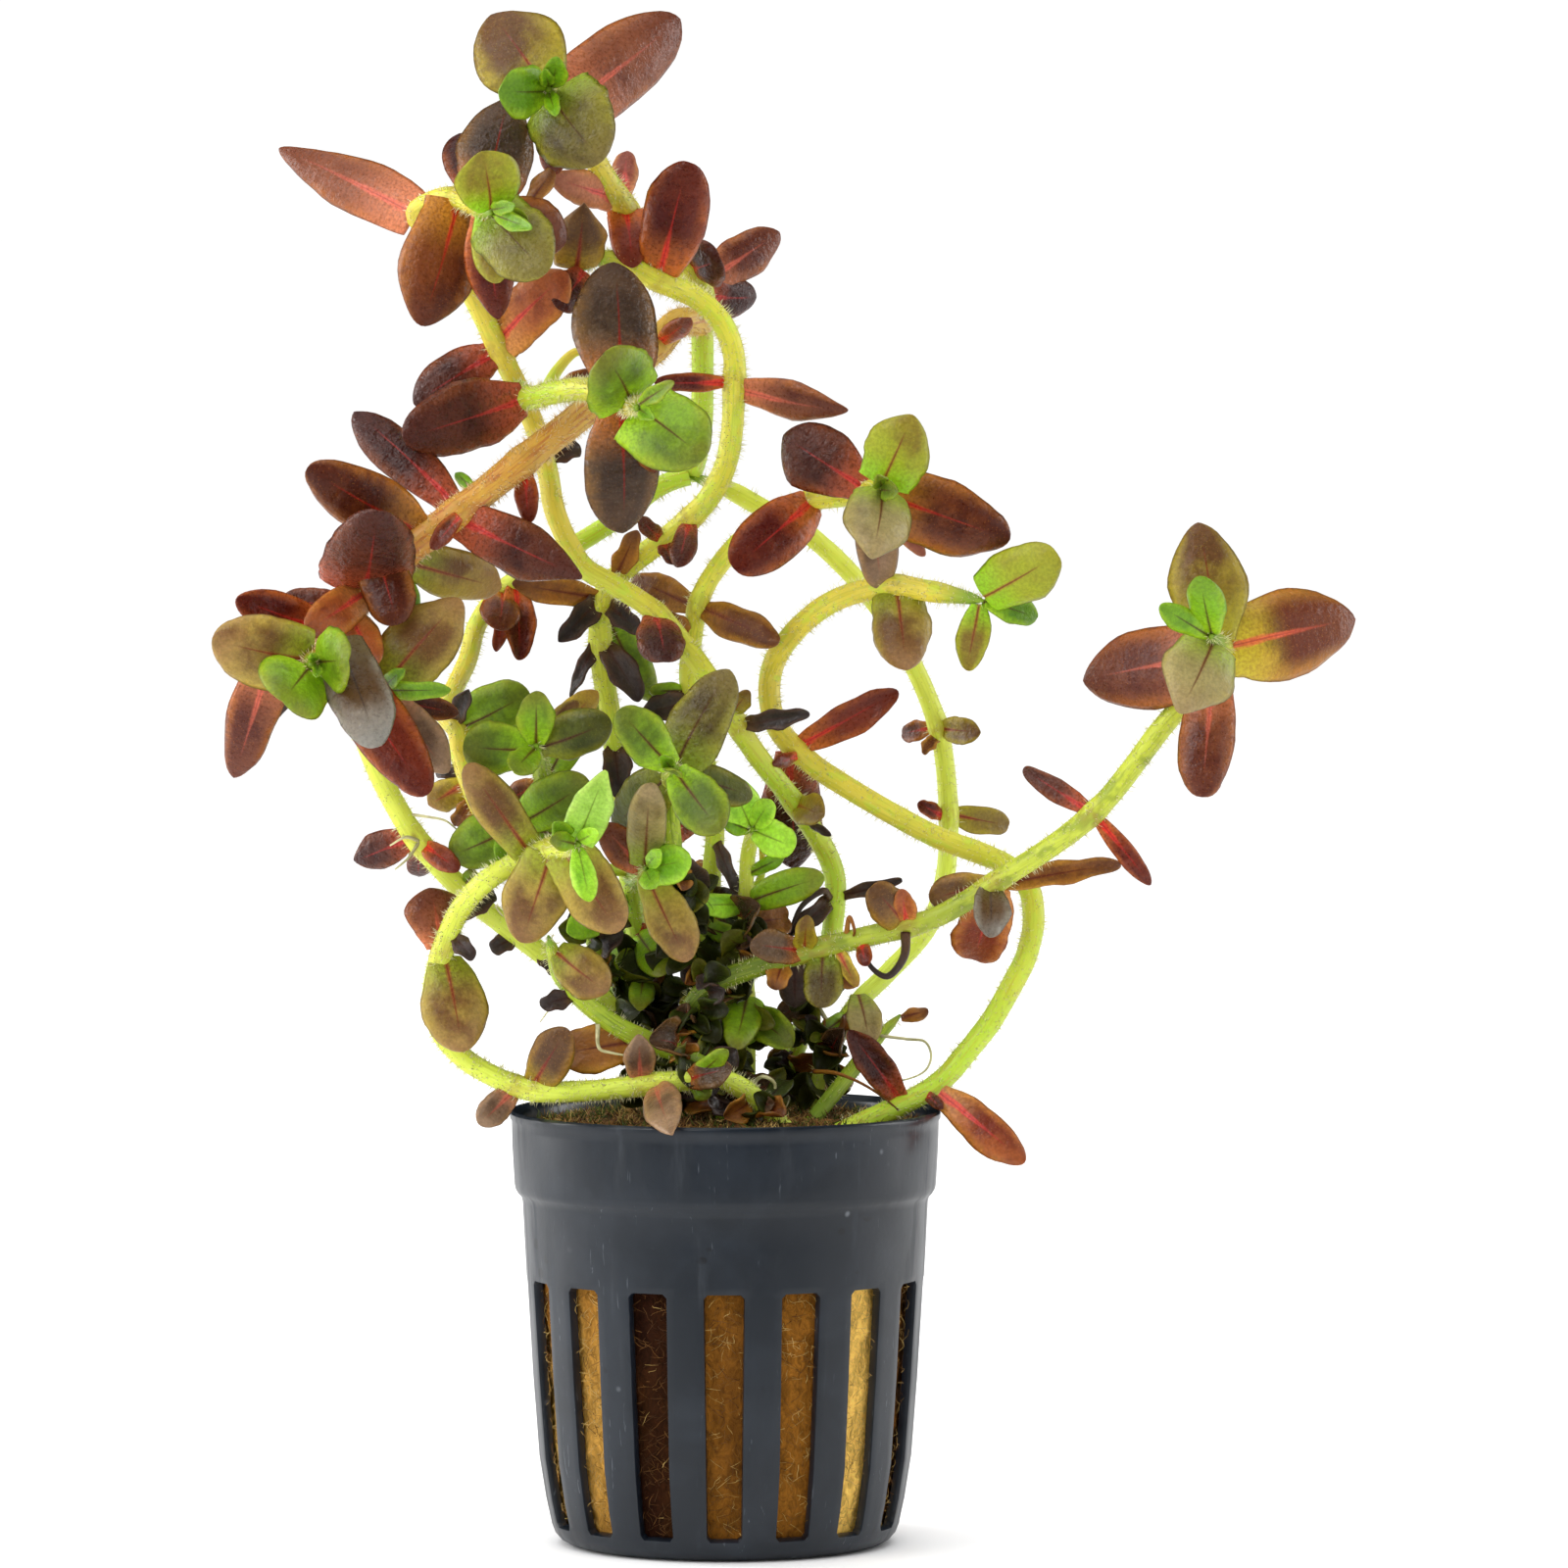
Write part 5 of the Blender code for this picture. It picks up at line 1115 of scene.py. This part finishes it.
def bowed(foot, along, facing, length, bend, t):
    """The point at a share of a spine that bows through an angle, and how far its heading turns there."""
    if abs(bend) < 1e-4:
        return foot + along * (length * t), 0.0
    arc = length / (2.0 * math.sin(bend / 2.0))
    turn = bend / 2.0 - bend * t
    point = foot + along * (arc * (math.sin(bend / 2.0) - math.sin(turn)))
    return point + facing * (arc * (math.cos(turn) - math.cos(bend / 2.0))), turn


def leaf(build, stem_name, row, number, slot):
    """One leaf blade as a closed loft of thin sections, cupped, bowed, grooved and wavy at the margin."""
    shape, width = row.shape, row.width
    chance = random.Random(f"{stem_name} {number}")
    seed = chance.uniform(0.0, 50.0)
    own = shape.get("dark", chance.random())
    roll = row.roll + chance.uniform(-14, 14)
    usual_cup = chance.uniform(-45, -20) if width > 5 else chance.uniform(-30, 15)
    cup = math.radians(shape.get("cup", usual_cup))
    widest = shape.get("widest", chance.uniform(1.15, 1.4))
    blade = (shape.get("foot", 0.07), shape.get("blunt", 0.5), widest)
    twist = math.radians(shape.get("twist", chance.uniform(-8, 8)))
    # Painted shade: a direction in the world, across and up, in which the blade is painted darker.
    painted_shade_x, painted_shade_z = shape.get("gloom", (chance.uniform(-0.5, 0.3), chance.uniform(-0.3, 0.3)))
    phase = chance.uniform(0.0, 6.28)
    waves = chance.uniform(1.6, 2.8)
    wave = 0.20 if row.kind in ("dead", "dry") else 0.12
    thick = 0.65 if width > 4.0 else 0.45

    foot = row.base
    if not shape.get("free"):
        centre, direction = nearest(AXES[stem_name], row.base)
        towards = row.tip - centre
        out = (towards - direction * towards.dot(direction)).normalized()
        foot = centre + out * STEMS[stem_name].radius * 0.4
    length = (row.tip - foot).length
    along = (row.tip - foot).normalized()
    to_eye = (EYE - foot).normalized()
    facing = (to_eye - along * to_eye.dot(along)).normalized()
    facing = Matrix.Rotation(math.radians(roll), 3, along) @ facing
    across = facing.cross(along)
    gloom = Vector((painted_shade_x, 0.0, painted_shade_z))
    painted_shade_across, painted_shade_along = gloom.dot(across), gloom.dot(along)
    bend = 4.0 * math.atan(2.0 * row.bow / length)
    fold_seen = min(1.4, abs(cup) + 0.01)
    full = width / 2.0 / (math.cos(math.radians(min(50, abs(roll)))) * math.sin(fold_seen) / fold_seen)

    rings = []
    for row_index in range(LEAF_ROWS + 1):
        t = 0.5 - 0.5 * math.cos(math.pi * row_index / LEAF_ROWS)
        pointed = 1.0 - shape.get("point", 0.0) * max(0.0, 2.0 * t - 1.0) ** 1.6 * 0.7
        half = full * outline(t, *blade) * pointed + LEAST_HALF
        spine, turn = bowed(foot, along, facing, length, bend, t)
        heading = along * math.cos(turn) + facing * math.sin(turn)
        spin = Matrix.Rotation(twist * (t - 0.3), 3, heading)
        up = spin @ (facing * math.cos(turn) - along * math.sin(turn))
        wide = spin @ across
        fold = cup * (0.55 + 0.45 * t)
        top = []
        low = []
        for column in range(LEAF_COLUMNS + 1):
            s = -1.0 + 2.0 * column / LEAF_COLUMNS
            s = math.sin(s * math.pi / 2.0) * 0.35 + s * 0.65
            right = s > 0
            uneven = noise.noise(Vector((t * 2.2, seed + (9.0 if right else 0.0), 0.0)))
            reach = half * (1.0 + UNEVEN * uneven * min(1.0, abs(s) * 2))
            reach *= 1.0 - max(0.0, math.sin(NOTCH_COUNT * math.pi * t + phase)) ** 8 * NOTCH * abs(s) ** 3
            x = reach * s
            lean = fold * s
            sideways = x
            lift = 0.0
            if abs(fold) > 1e-3:
                sideways = reach / fold * math.sin(lean)
                lift = reach / fold * (1.0 - math.cos(lean))
            normal = up * math.cos(lean) - wide * math.sin(lean)
            groove = -GROOVE * math.exp(-(x / GROOVE_WIDTH) ** 2) * (1.0 - t) ** 0.6 * min(1.0, width / 6.0)
            swell = SWELL * (1.0 - s * s) * math.sin(math.pi * t) * min(1.0, width / 7.0)
            ruffle = wave * s * s * math.sin(waves * FULL_TURN * t + phase + (1.6 if right else 0.0))
            pucker = noise.noise(Vector((x * 0.45, t * length * 0.45, seed)))
            ruffle += PUCKER * pucker * min(1.0, width / 5.0)
            body = thick / 2.0 * max(0.0, 1.0 - abs(s) ** 2.6) ** 0.5 * min(1.0, 6.0 * (1.0 - t) + 0.25)
            skin = spine + wide * sideways + up * lift + normal * ruffle
            # The blade's own darkness, plus painted shade that deepens towards one side in the world.
            darkness = own + painted_shade_across * s + painted_shade_along * (2.0 * t - 1.0)
            facts = ((x, t * length, seed), (abs(s), t, darkness))
            top.append(build.point(skin + normal * (body + groove + swell), *facts))
            if 0 < column < LEAF_COLUMNS:
                low.append(build.point(skin + normal * (-body + groove * 0.6 + swell), *facts))
        rings.append(top + list(reversed(low)))
    build.loft(rings, slot)


def stem_skin(build, stem_name, slot):
    """The stem's skin: a ridged tube that swells at its nodes and thins towards the tip."""
    points = curve_through(AXES[stem_name], STEM_STEP)
    chance = random.Random(stem_name)
    seed = chance.uniform(0.0, 40.0)
    attached = [nearest(points, row.base)[0] for row in LEAVES.get(stem_name, [])]
    total = len(points) - 1
    swell = []
    for point in points:
        near = min([(point - place).length for place in attached], default=9.0)
        swell.append(math.exp(-(near / 1.3) ** 2))
    ridges = chance.choice((5, 6, 7))

    def radius_at(index, angle):
        thin = 0.35 + 0.65 * min(1.0, (total - index) * STEM_STEP / 6.0)
        rough = noise.noise(points[index] * 0.35 + Vector((math.cos(angle), math.sin(angle), 0)) * 0.6)
        ridge = 1.0 + 0.025 * math.sin(ridges * angle + index * 0.01) + 0.05 * rough
        close = {total: 0.35, total - 1: 0.75}.get(index, 1.0)
        return STEMS[stem_name].radius * thin * ridge * (1.0 + 0.13 * swell[index]) * close

    for index, ring in enumerate(tube(build, points, radius_at, STEM_SIDES, slot, seed)):
        for corner in ring:
            build.share[corner * 3] = swell[index]
    return points, radius_at


def hairs(build, stem_name, points, radius_at, slot):
    """Fine short hairs that stand off a stem: slim closed cones."""
    chance = random.Random(stem_name + " hairs")
    frames = frames_along(points)
    run = sum((b - a).length for a, b in zip(points, points[1:]))
    first = 1 if STEMS[stem_name].parent else 4
    for _ in range(int(run * HAIRS * STEMS[stem_name].hairiness)):
        index = chance.randrange(first, len(points) - 1)
        angle = chance.uniform(0.0, FULL_TURN)
        heading, side, up = frames[index]
        centre = points[index].lerp(points[index + 1], chance.random())
        out = side * math.cos(angle) + up * math.sin(angle)
        lean = heading * chance.uniform(-0.35, 0.5) + out.cross(heading) * chance.uniform(-0.35, 0.35)
        foot = centre + out * (radius_at(index, angle) - 0.05)
        spike(build, foot, (out + lean).normalized(), chance.uniform(0.35, 1.0), HAIR_RADIUS, slot)


def litter(build, stem_name, kinds):
    """Dead leaves that cling to the lower stems, brown and near-black, and near-black green pieces that
    fill the clump as painted shade.
    """
    chance = random.Random(stem_name + " litter")
    path = AXES[stem_name]
    count, low, high = LITTER.get(stem_name, (0, 0, 0))
    for number in range(count):
        height = chance.uniform(low, high)
        centre = path[0]
        for _ in range(4):
            centre, _ = nearest(path, Vector((centre.x, centre.y, height)))
        angle = chance.uniform(0.0, FULL_TURN) if chance.random() < 0.5 else chance.uniform(-2.4, -0.7)
        way = Vector((math.cos(angle), math.sin(angle), chance.uniform(-0.9, 0.7))).normalized()
        end = centre + way * chance.uniform(3.0, 6.5)
        end.z = max(end.z, 51.4)
        # Most pieces are of the near-black green shade kind, painted shade that darkens the clump; the rest
        # are dead leaves.
        kind = chance.choice(("shade",) * 5 + ("moss", "dead", "umber", "dry"))
        shape = {"cup": chance.uniform(30, 110), "twist": chance.uniform(-70, 70)}
        width, roll, bow = chance.uniform(1.6, 3.6), chance.uniform(-40, 40), chance.uniform(0.2, 0.9)
        row = Leaf("", kind, centre, end, width, roll, bow, shape)
        leaf(build, stem_name, row, 500 + number, kinds.index(kind))


# Pot, plug and moss


def pot_radius(height):
    """The pot's outer radius at a height, from its profile."""
    for (low, a), (high, b) in zip(POT_PROFILE, POT_PROFILE[1:]):
        if height <= high:
            return a + (b - a) * (height - low) / (high - low)
    return POT_PROFILE[-1][1]


def slot_half_angle(height):
    share = limited((height - SLOT_FOOT) / (SLOT_TOP - SLOT_FOOT))
    width = SLOT_WIDTH_FOOT + (SLOT_WIDTH_TOP - SLOT_WIDTH_FOOT) * share
    return width / 2.0 / pot_radius(height)


def pot_row(height):
    """Points around the pot's wall at one height."""
    pitch = FULL_TURN / SLOT_COUNT
    half = slot_half_angle(min(SLOT_TOP, max(SLOT_FOOT, height)))
    corner = SLOT_CORNER if height in (SLOT_FOOT, SLOT_TOP) else 1.0
    steps = [half * part for part in (-corner, -0.4, 0.4, corner)]
    steps += [half + (pitch - 2 * half) * part for part in (0.25, 0.5, 0.75)]
    return [turned(pot_radius(height), pitch * number + FRONT + step, height)
            for number in range(SLOT_COUNT) for step in steps]


def join_rings(bm, low, high, slots_open=False):
    """Faces between two rings of points, left out across the slots where those are open."""
    for step in range(len(low)):
        if slots_open and step % POINTS_PER_SLOT < SLOT_FACES:
            continue
        after = (step + 1) % len(low)
        bm.faces.new((low[step], low[after], high[after], high[step]))


def make_pot(material):
    """A slotted wall that is thickened and bevelled, with a collar, a rim and a flat base."""
    heights = sorted([height for height, _ in POT_PROFILE] + list(POT_ROWS))
    bm = bmesh.new()
    rows = [[bm.verts.new(place * MM) for place in pot_row(height)] for height in heights]
    for index, (low, high) in enumerate(zip(rows, rows[1:])):
        slots_open = heights[index] >= SLOT_FOOT and heights[index + 1] <= SLOT_TOP
        join_rings(bm, low, high, slots_open)
    inner = rows[0]
    for radius in BASE_RINGS:
        ring = []
        for vert in inner:
            flat = Vector((vert.co.x, vert.co.y, 0.0)).normalized() * radius * MM
            ring.append(bm.verts.new(flat))
        join_rings(bm, ring, inner)
        inner = ring
    bm.faces.new(tuple(inner))
    bmesh.ops.recalc_face_normals(bm, faces=bm.faces)
    mesh = bpy.data.meshes.new("net_pot_shell")
    bm.to_mesh(mesh)
    bm.free()
    mesh.materials.append(material)
    mesh.shade_smooth()
    pot = add_object("net_pot_shell", mesh)
    shell = pot.modifiers.new("wall", "SOLIDIFY")
    shell.thickness = WALL * MM
    shell.offset = -1.0
    shell.use_even_offset = True
    edges = pot.modifiers.new("edges", "BEVEL")
    edges.width = EDGE * MM
    edges.segments = 2
    edges.limit_method = "ANGLE"
    edges.angle_limit = math.radians(38)
    return pot


def plug_height(radius):
    return PLUG_TOP - PLUG_EDGE_DROP * (radius / PLUG_DROP_RADIUS) ** 2


def plug_radius(height):
    return min(PLUG_RADIUS, pot_radius(height) - PLUG_GAP)


def make_plug(wool, moss):
    """The felted plug: a turned body with lumps and hollows, and an uneven mossy top."""
    build = Builder()
    angles = [FULL_TURN * step / PLUG_SIDES for step in range(PLUG_SIDES)]
    rings = []
    for step in range(PLUG_ROWS + 1):
        height = PLUG_FOOT + PLUG_SIDE * step / PLUG_ROWS
        ring = []
        for angle in angles:
            at = turned(6, angle, height * 0.3)
            lump = noise.noise(at) * 0.45 + noise.noise(at * 3.1) * 0.25 + noise.noise(at * 8.0) * 0.15
            ring.append(build.point(turned(plug_radius(height) + lump - 0.25, angle, height)))
        rings.append(ring)
    for part in PLUG_TOP_RINGS:
        radius = PLUG_RADIUS * part
        ring = []
        for angle in angles:
            at = turned(radius, angle, 3.0)
            lump = noise.noise(at * 0.35) * 0.9 + noise.noise(at * 1.2) * 0.4
            ring.append(build.point(turned(radius, angle, plug_height(radius) - 0.5 + lump)))
        rings.append(ring)
    build.loft(rings)
    top_faces = PLUG_SIDES * len(PLUG_TOP_RINGS)
    build.slots[-2 - top_faces:] = [1] * top_faces + [0, 1]
    return build.make("plug_body", [wool, moss])


def make_fibres(materials):
    """Loose rockwool fibres that lie over the plug's side and poke through the slots."""
    chance = random.Random(21)
    build = Builder()
    for _ in range(FIBRE_COUNT):
        number = chance.randrange(SLOT_COUNT)
        height = chance.uniform(3.0, 31.0)
        half = slot_half_angle(height)
        angle = FULL_TURN * number / SLOT_COUNT + FRONT + chance.uniform(-half, half) * 1.1
        reach = plug_radius(height) + chance.uniform(-0.1, 0.5)
        drift = chance.uniform(-0.09, 0.09)
        rise = chance.uniform(-1.8, 1.8)
        places = []
        for part in (0.0, 0.35, 0.7, 1.0):
            turn = angle + drift * part + chance.uniform(-0.012, 0.012)
            out = reach + math.sin(math.pi * part) * chance.uniform(0.0, 0.6)
            places.append(turned(out, turn, min(31.3, max(2.8, height + rise * part))))
        radius = chance.uniform(0.025, 0.05)
        damp = chance.random() >= DRY_SLOTS.get(number, 0.5)
        strand(build, places, radius, int(damp), 3, 1.2)
    return build.make("rockwool_fibres", materials)


def make_moss(materials):
    """Short moss and stray fibres over the plug's top."""
    chance = random.Random(8)
    build = Builder()
    for _ in range(MOSS_COUNT):
        radius = MOSS_RADIUS * math.sqrt(chance.random())
        at = turned(radius, chance.uniform(0.0, FULL_TURN), 0.0)
        patch = noise.noise(at * 0.3 + Vector((5, 1, 0)))
        at.z = plug_height(radius) - 0.8 + chance.uniform(0.0, 0.9)
        way = Vector((chance.uniform(-1, 1), chance.uniform(-1, 1), chance.uniform(0.1, 1.3))).normalized()
        slot = 0 if patch > 0.05 else 1 if patch > -0.2 else 2
        if chance.random() < 0.2:
            slot = chance.randrange(3)
        spike(build, at, way, chance.uniform(0.5, 1.6), chance.uniform(0.05, 0.12), slot)
    return build.make("plug_moss", materials)


# The stage


def point_at(thing, place, direction):
    thing.location = place
    thing.rotation_mode = "QUATERNION"
    thing.rotation_quaternion = direction.to_track_quat("-Z", "Y")


def make_camera():
    camera = add_object("camera", bpy.data.cameras.new("camera"))
    point_at(camera, EYE * MM, AIM - EYE)
    camera.data.sensor_width = SENSOR
    camera.data.lens = LENS
    camera.data.clip_start = 0.05
    camera.data.clip_end = 200.0
    bpy.context.scene.camera = camera


def area_light(name, place, size, power, mirrored=True, lit=True):
    """A soft box aimed at the plant's middle, which its reflections or its lit sides can leave out."""
    light = add_object(name, bpy.data.lights.new(name, "AREA"))
    point_at(light, place, Vector((0.0, 0.0, 0.10)) - Vector(place))
    light.data.shape = "RECTANGLE"
    light.data.size, light.data.size_y = size
    light.data.energy = power
    light.visible_glossy = mirrored
    light.visible_diffuse = lit


def make_lights():
    """Tall soft boxes at both sides, strips behind them, fills in front, and broad lights from above."""
    area_light("left_softbox", (-1.0, -0.65, 0.55), (0.6, 1.0), 6.0)
    area_light("right_softbox", (1.0, -0.60, 0.40), (0.5, 0.9), 2.2)
    area_light("left_strip", (-1.1, 0.35, 0.35), (0.4, 1.0), 8.0)
    area_light("right_strip", (1.1, 0.35, 0.35), (0.4, 1.0), 6.5, lit=False)
    area_light("front_fill", (0.0, -1.0, 1.0), (0.9, 0.4), 3.0, mirrored=False)
    area_light("low_fill", (-0.5, -1.1, 0.15), (1.0, 0.5), 4.0, mirrored=False)
    area_light("high_sheen", (-0.55, -0.70, 0.95), (0.5, 0.5), 4.0, lit=False)
    area_light("top_softbox", (-0.1, 0.1, 0.95), (0.8, 0.8), 2.2)
    ceiling = add_object("ceiling_light", bpy.data.lights.new("ceiling_light", "SUN"))
    ceiling.data.energy = 1.0
    ceiling.data.angle = math.radians(70)
    ceiling.visible_glossy = False


def make_surround():
    """A surround that is white to the camera, bright behind and above, and dark in front."""
    world = bpy.data.worlds.new("surround")
    bpy.context.scene.world = world
    world.use_nodes = True
    world.cycles_visibility.glossy = False
    nodes, links = world.node_tree.nodes, world.node_tree.links
    parts = nodes.new("ShaderNodeSeparateXYZ")
    links.new(nodes.new("ShaderNodeTexCoord").outputs["Generated"], parts.inputs[0])
    brightness = []
    for axis, ends in (("Y", (-0.35, 0.30, 0.08, 1.08)), ("Z", (0.30, 0.85, 0.0, 0.9))):
        ramp = nodes.new("ShaderNodeMapRange")
        ramp.interpolation_type = "SMOOTHSTEP"
        links.new(parts.outputs[axis], ramp.inputs["Value"])
        for name, value in zip(("From Min", "From Max", "To Min", "To Max"), ends):
            ramp.inputs[name].default_value = value
        brightness.append(ramp.outputs[0])
    brightness.append(nodes.new("ShaderNodeLightPath").outputs["Is Camera Ray"])
    while len(brightness) > 1:
        larger = nodes.new("ShaderNodeMath")
        larger.operation = "MAXIMUM"
        for socket in larger.inputs[:2]:
            links.new(brightness.pop(0), socket)
        brightness.append(larger.outputs[0])
    links.new(brightness[0], nodes["Background"].inputs["Strength"])
    nodes["Background"].inputs["Color"].default_value = (1.0, 1.0, 1.0, 1.0)


def make_floor():
    """A wide white floor that is dimmer in reflections, and dim in front of the pot."""
    r = Recipe("floor_white", 0.9)
    _, depth, _ = r.split(r.place())
    dim = r.mix(r.band(depth, -0.30, 0.02), (0.12, 0.12, 0.12), (0.70, 0.70, 0.70))
    white = r.mix(r.noise(r.place(), 3.0), (0.97, 0.97, 0.97), (0.98, 0.98, 0.98))
    r.colour(r.mix(r.node("ShaderNodeLightPath").outputs["Is Glossy Ray"], white, dim))
    bm = bmesh.new()
    bmesh.ops.create_grid(bm, x_segments=1, y_segments=1, size=80.0)
    mesh = bpy.data.meshes.new("floor")
    bm.to_mesh(mesh)
    bm.free()
    mesh.materials.append(r.material)
    add_object("floor", mesh)


# The pieces


def dress(piece, node):
    """The piece rides on the one body and stands for the node, whose own part is hidden."""
    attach(piece, "root")
    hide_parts(node)


def make_leaves(stem_name, blades):
    """The stem's leaves: a piece for each CAD node, and one for all the smaller ones and the litter."""
    kinds = list(blades)
    small = Builder()
    for number, row in enumerate(LEAVES.get(stem_name, [])):
        if row.node:
            own = Builder()
            leaf(own, stem_name, row, number, 0)
            dress(own.make(row.node + "_blade", [blades[row.kind]]), row.node)
        else:
            leaf(small, stem_name, row, number, kinds.index(row.kind))
    for number, row in enumerate(SMALL_LEAVES.get(stem_name, [])):
        leaf(small, stem_name, row, 100 + number, kinds.index(row.kind))
    litter(small, stem_name, kinds)
    if small.faces:
        dress(small.make(stem_name + "_small_leaves", list(blades.values())), stem_name)


def make_threads(stem_name, looks):
    threads = Builder()
    for owner, look, radius, places in THREADS:
        if owner == stem_name:
            slot = list(looks).index(look)
            strand(threads, read_places(places), radius, slot, THREAD_SIDES, THREAD_STEP)
    if threads.faces:
        dress(threads.make(stem_name + "_threads", list(looks.values())), stem_name)


def make_plant():
    stems = {kind: stem_material(kind, look) for kind, look in STEM_KINDS.items()}
    blades = {kind: leaf_material(kind, look) for kind, look in LEAF_KINDS.items()}
    hair = hair_material("stem_hair", (0.66, 0.62, 0.24), (0.84, 0.80, 0.42))
    amber_hair = hair_material("amber_hair", (0.72, 0.46, 0.18), (0.86, 0.68, 0.36))
    root = fibre_material("root_cream", (0.36, 0.33, 0.16), (0.68, 0.64, 0.36), 0.55)
    looks = {"root": root, "tan": stems["tan_stem"], "dead": blades["dead"], "dry": blades["dry"]}
    for stem_name, stem in STEMS.items():
        build = Builder()
        points, radius_at = stem_skin(build, stem_name, 0)
        hairs(build, stem_name, points, radius_at, 1)
        its_hair = amber_hair if stem.look == "orange_stem" else hair
        skin = build.make(stem_name + "_skin", [stems[stem.look], its_hair])
        dress(skin, stem_name)
        make_leaves(stem_name, blades)
        make_threads(stem_name, looks)


def make_pot_and_plug():
    moss_green = fibre_material("moss_green", (0.025, 0.045, 0.006), (0.110, 0.140, 0.018))
    moss_brown = fibre_material("moss_brown", (0.075, 0.034, 0.010), (0.240, 0.115, 0.028))
    gold = fibre_material("fibre_gold", (0.32, 0.19, 0.05), (0.62, 0.42, 0.14))
    dark = fibre_material("fibre_brown", (0.05, 0.020, 0.006), (0.19, 0.085, 0.020))
    dress(make_pot(pot_material()), "net_pot")
    dress(make_plug(rockwool_material(), moss_brown), "rockwool_plug")
    dress(make_fibres([gold, dark]), "rockwool_plug")
    dress(make_moss([moss_green, moss_brown, gold]), "rockwool_plug")


AXES = {name: axis_points(stem) for name, stem in STEMS.items()}

make_camera()
make_lights()
make_surround()
make_floor()
make_pot_and_plug()
make_plant()
bpy.context.scene.view_settings.view_transform = "Standard"
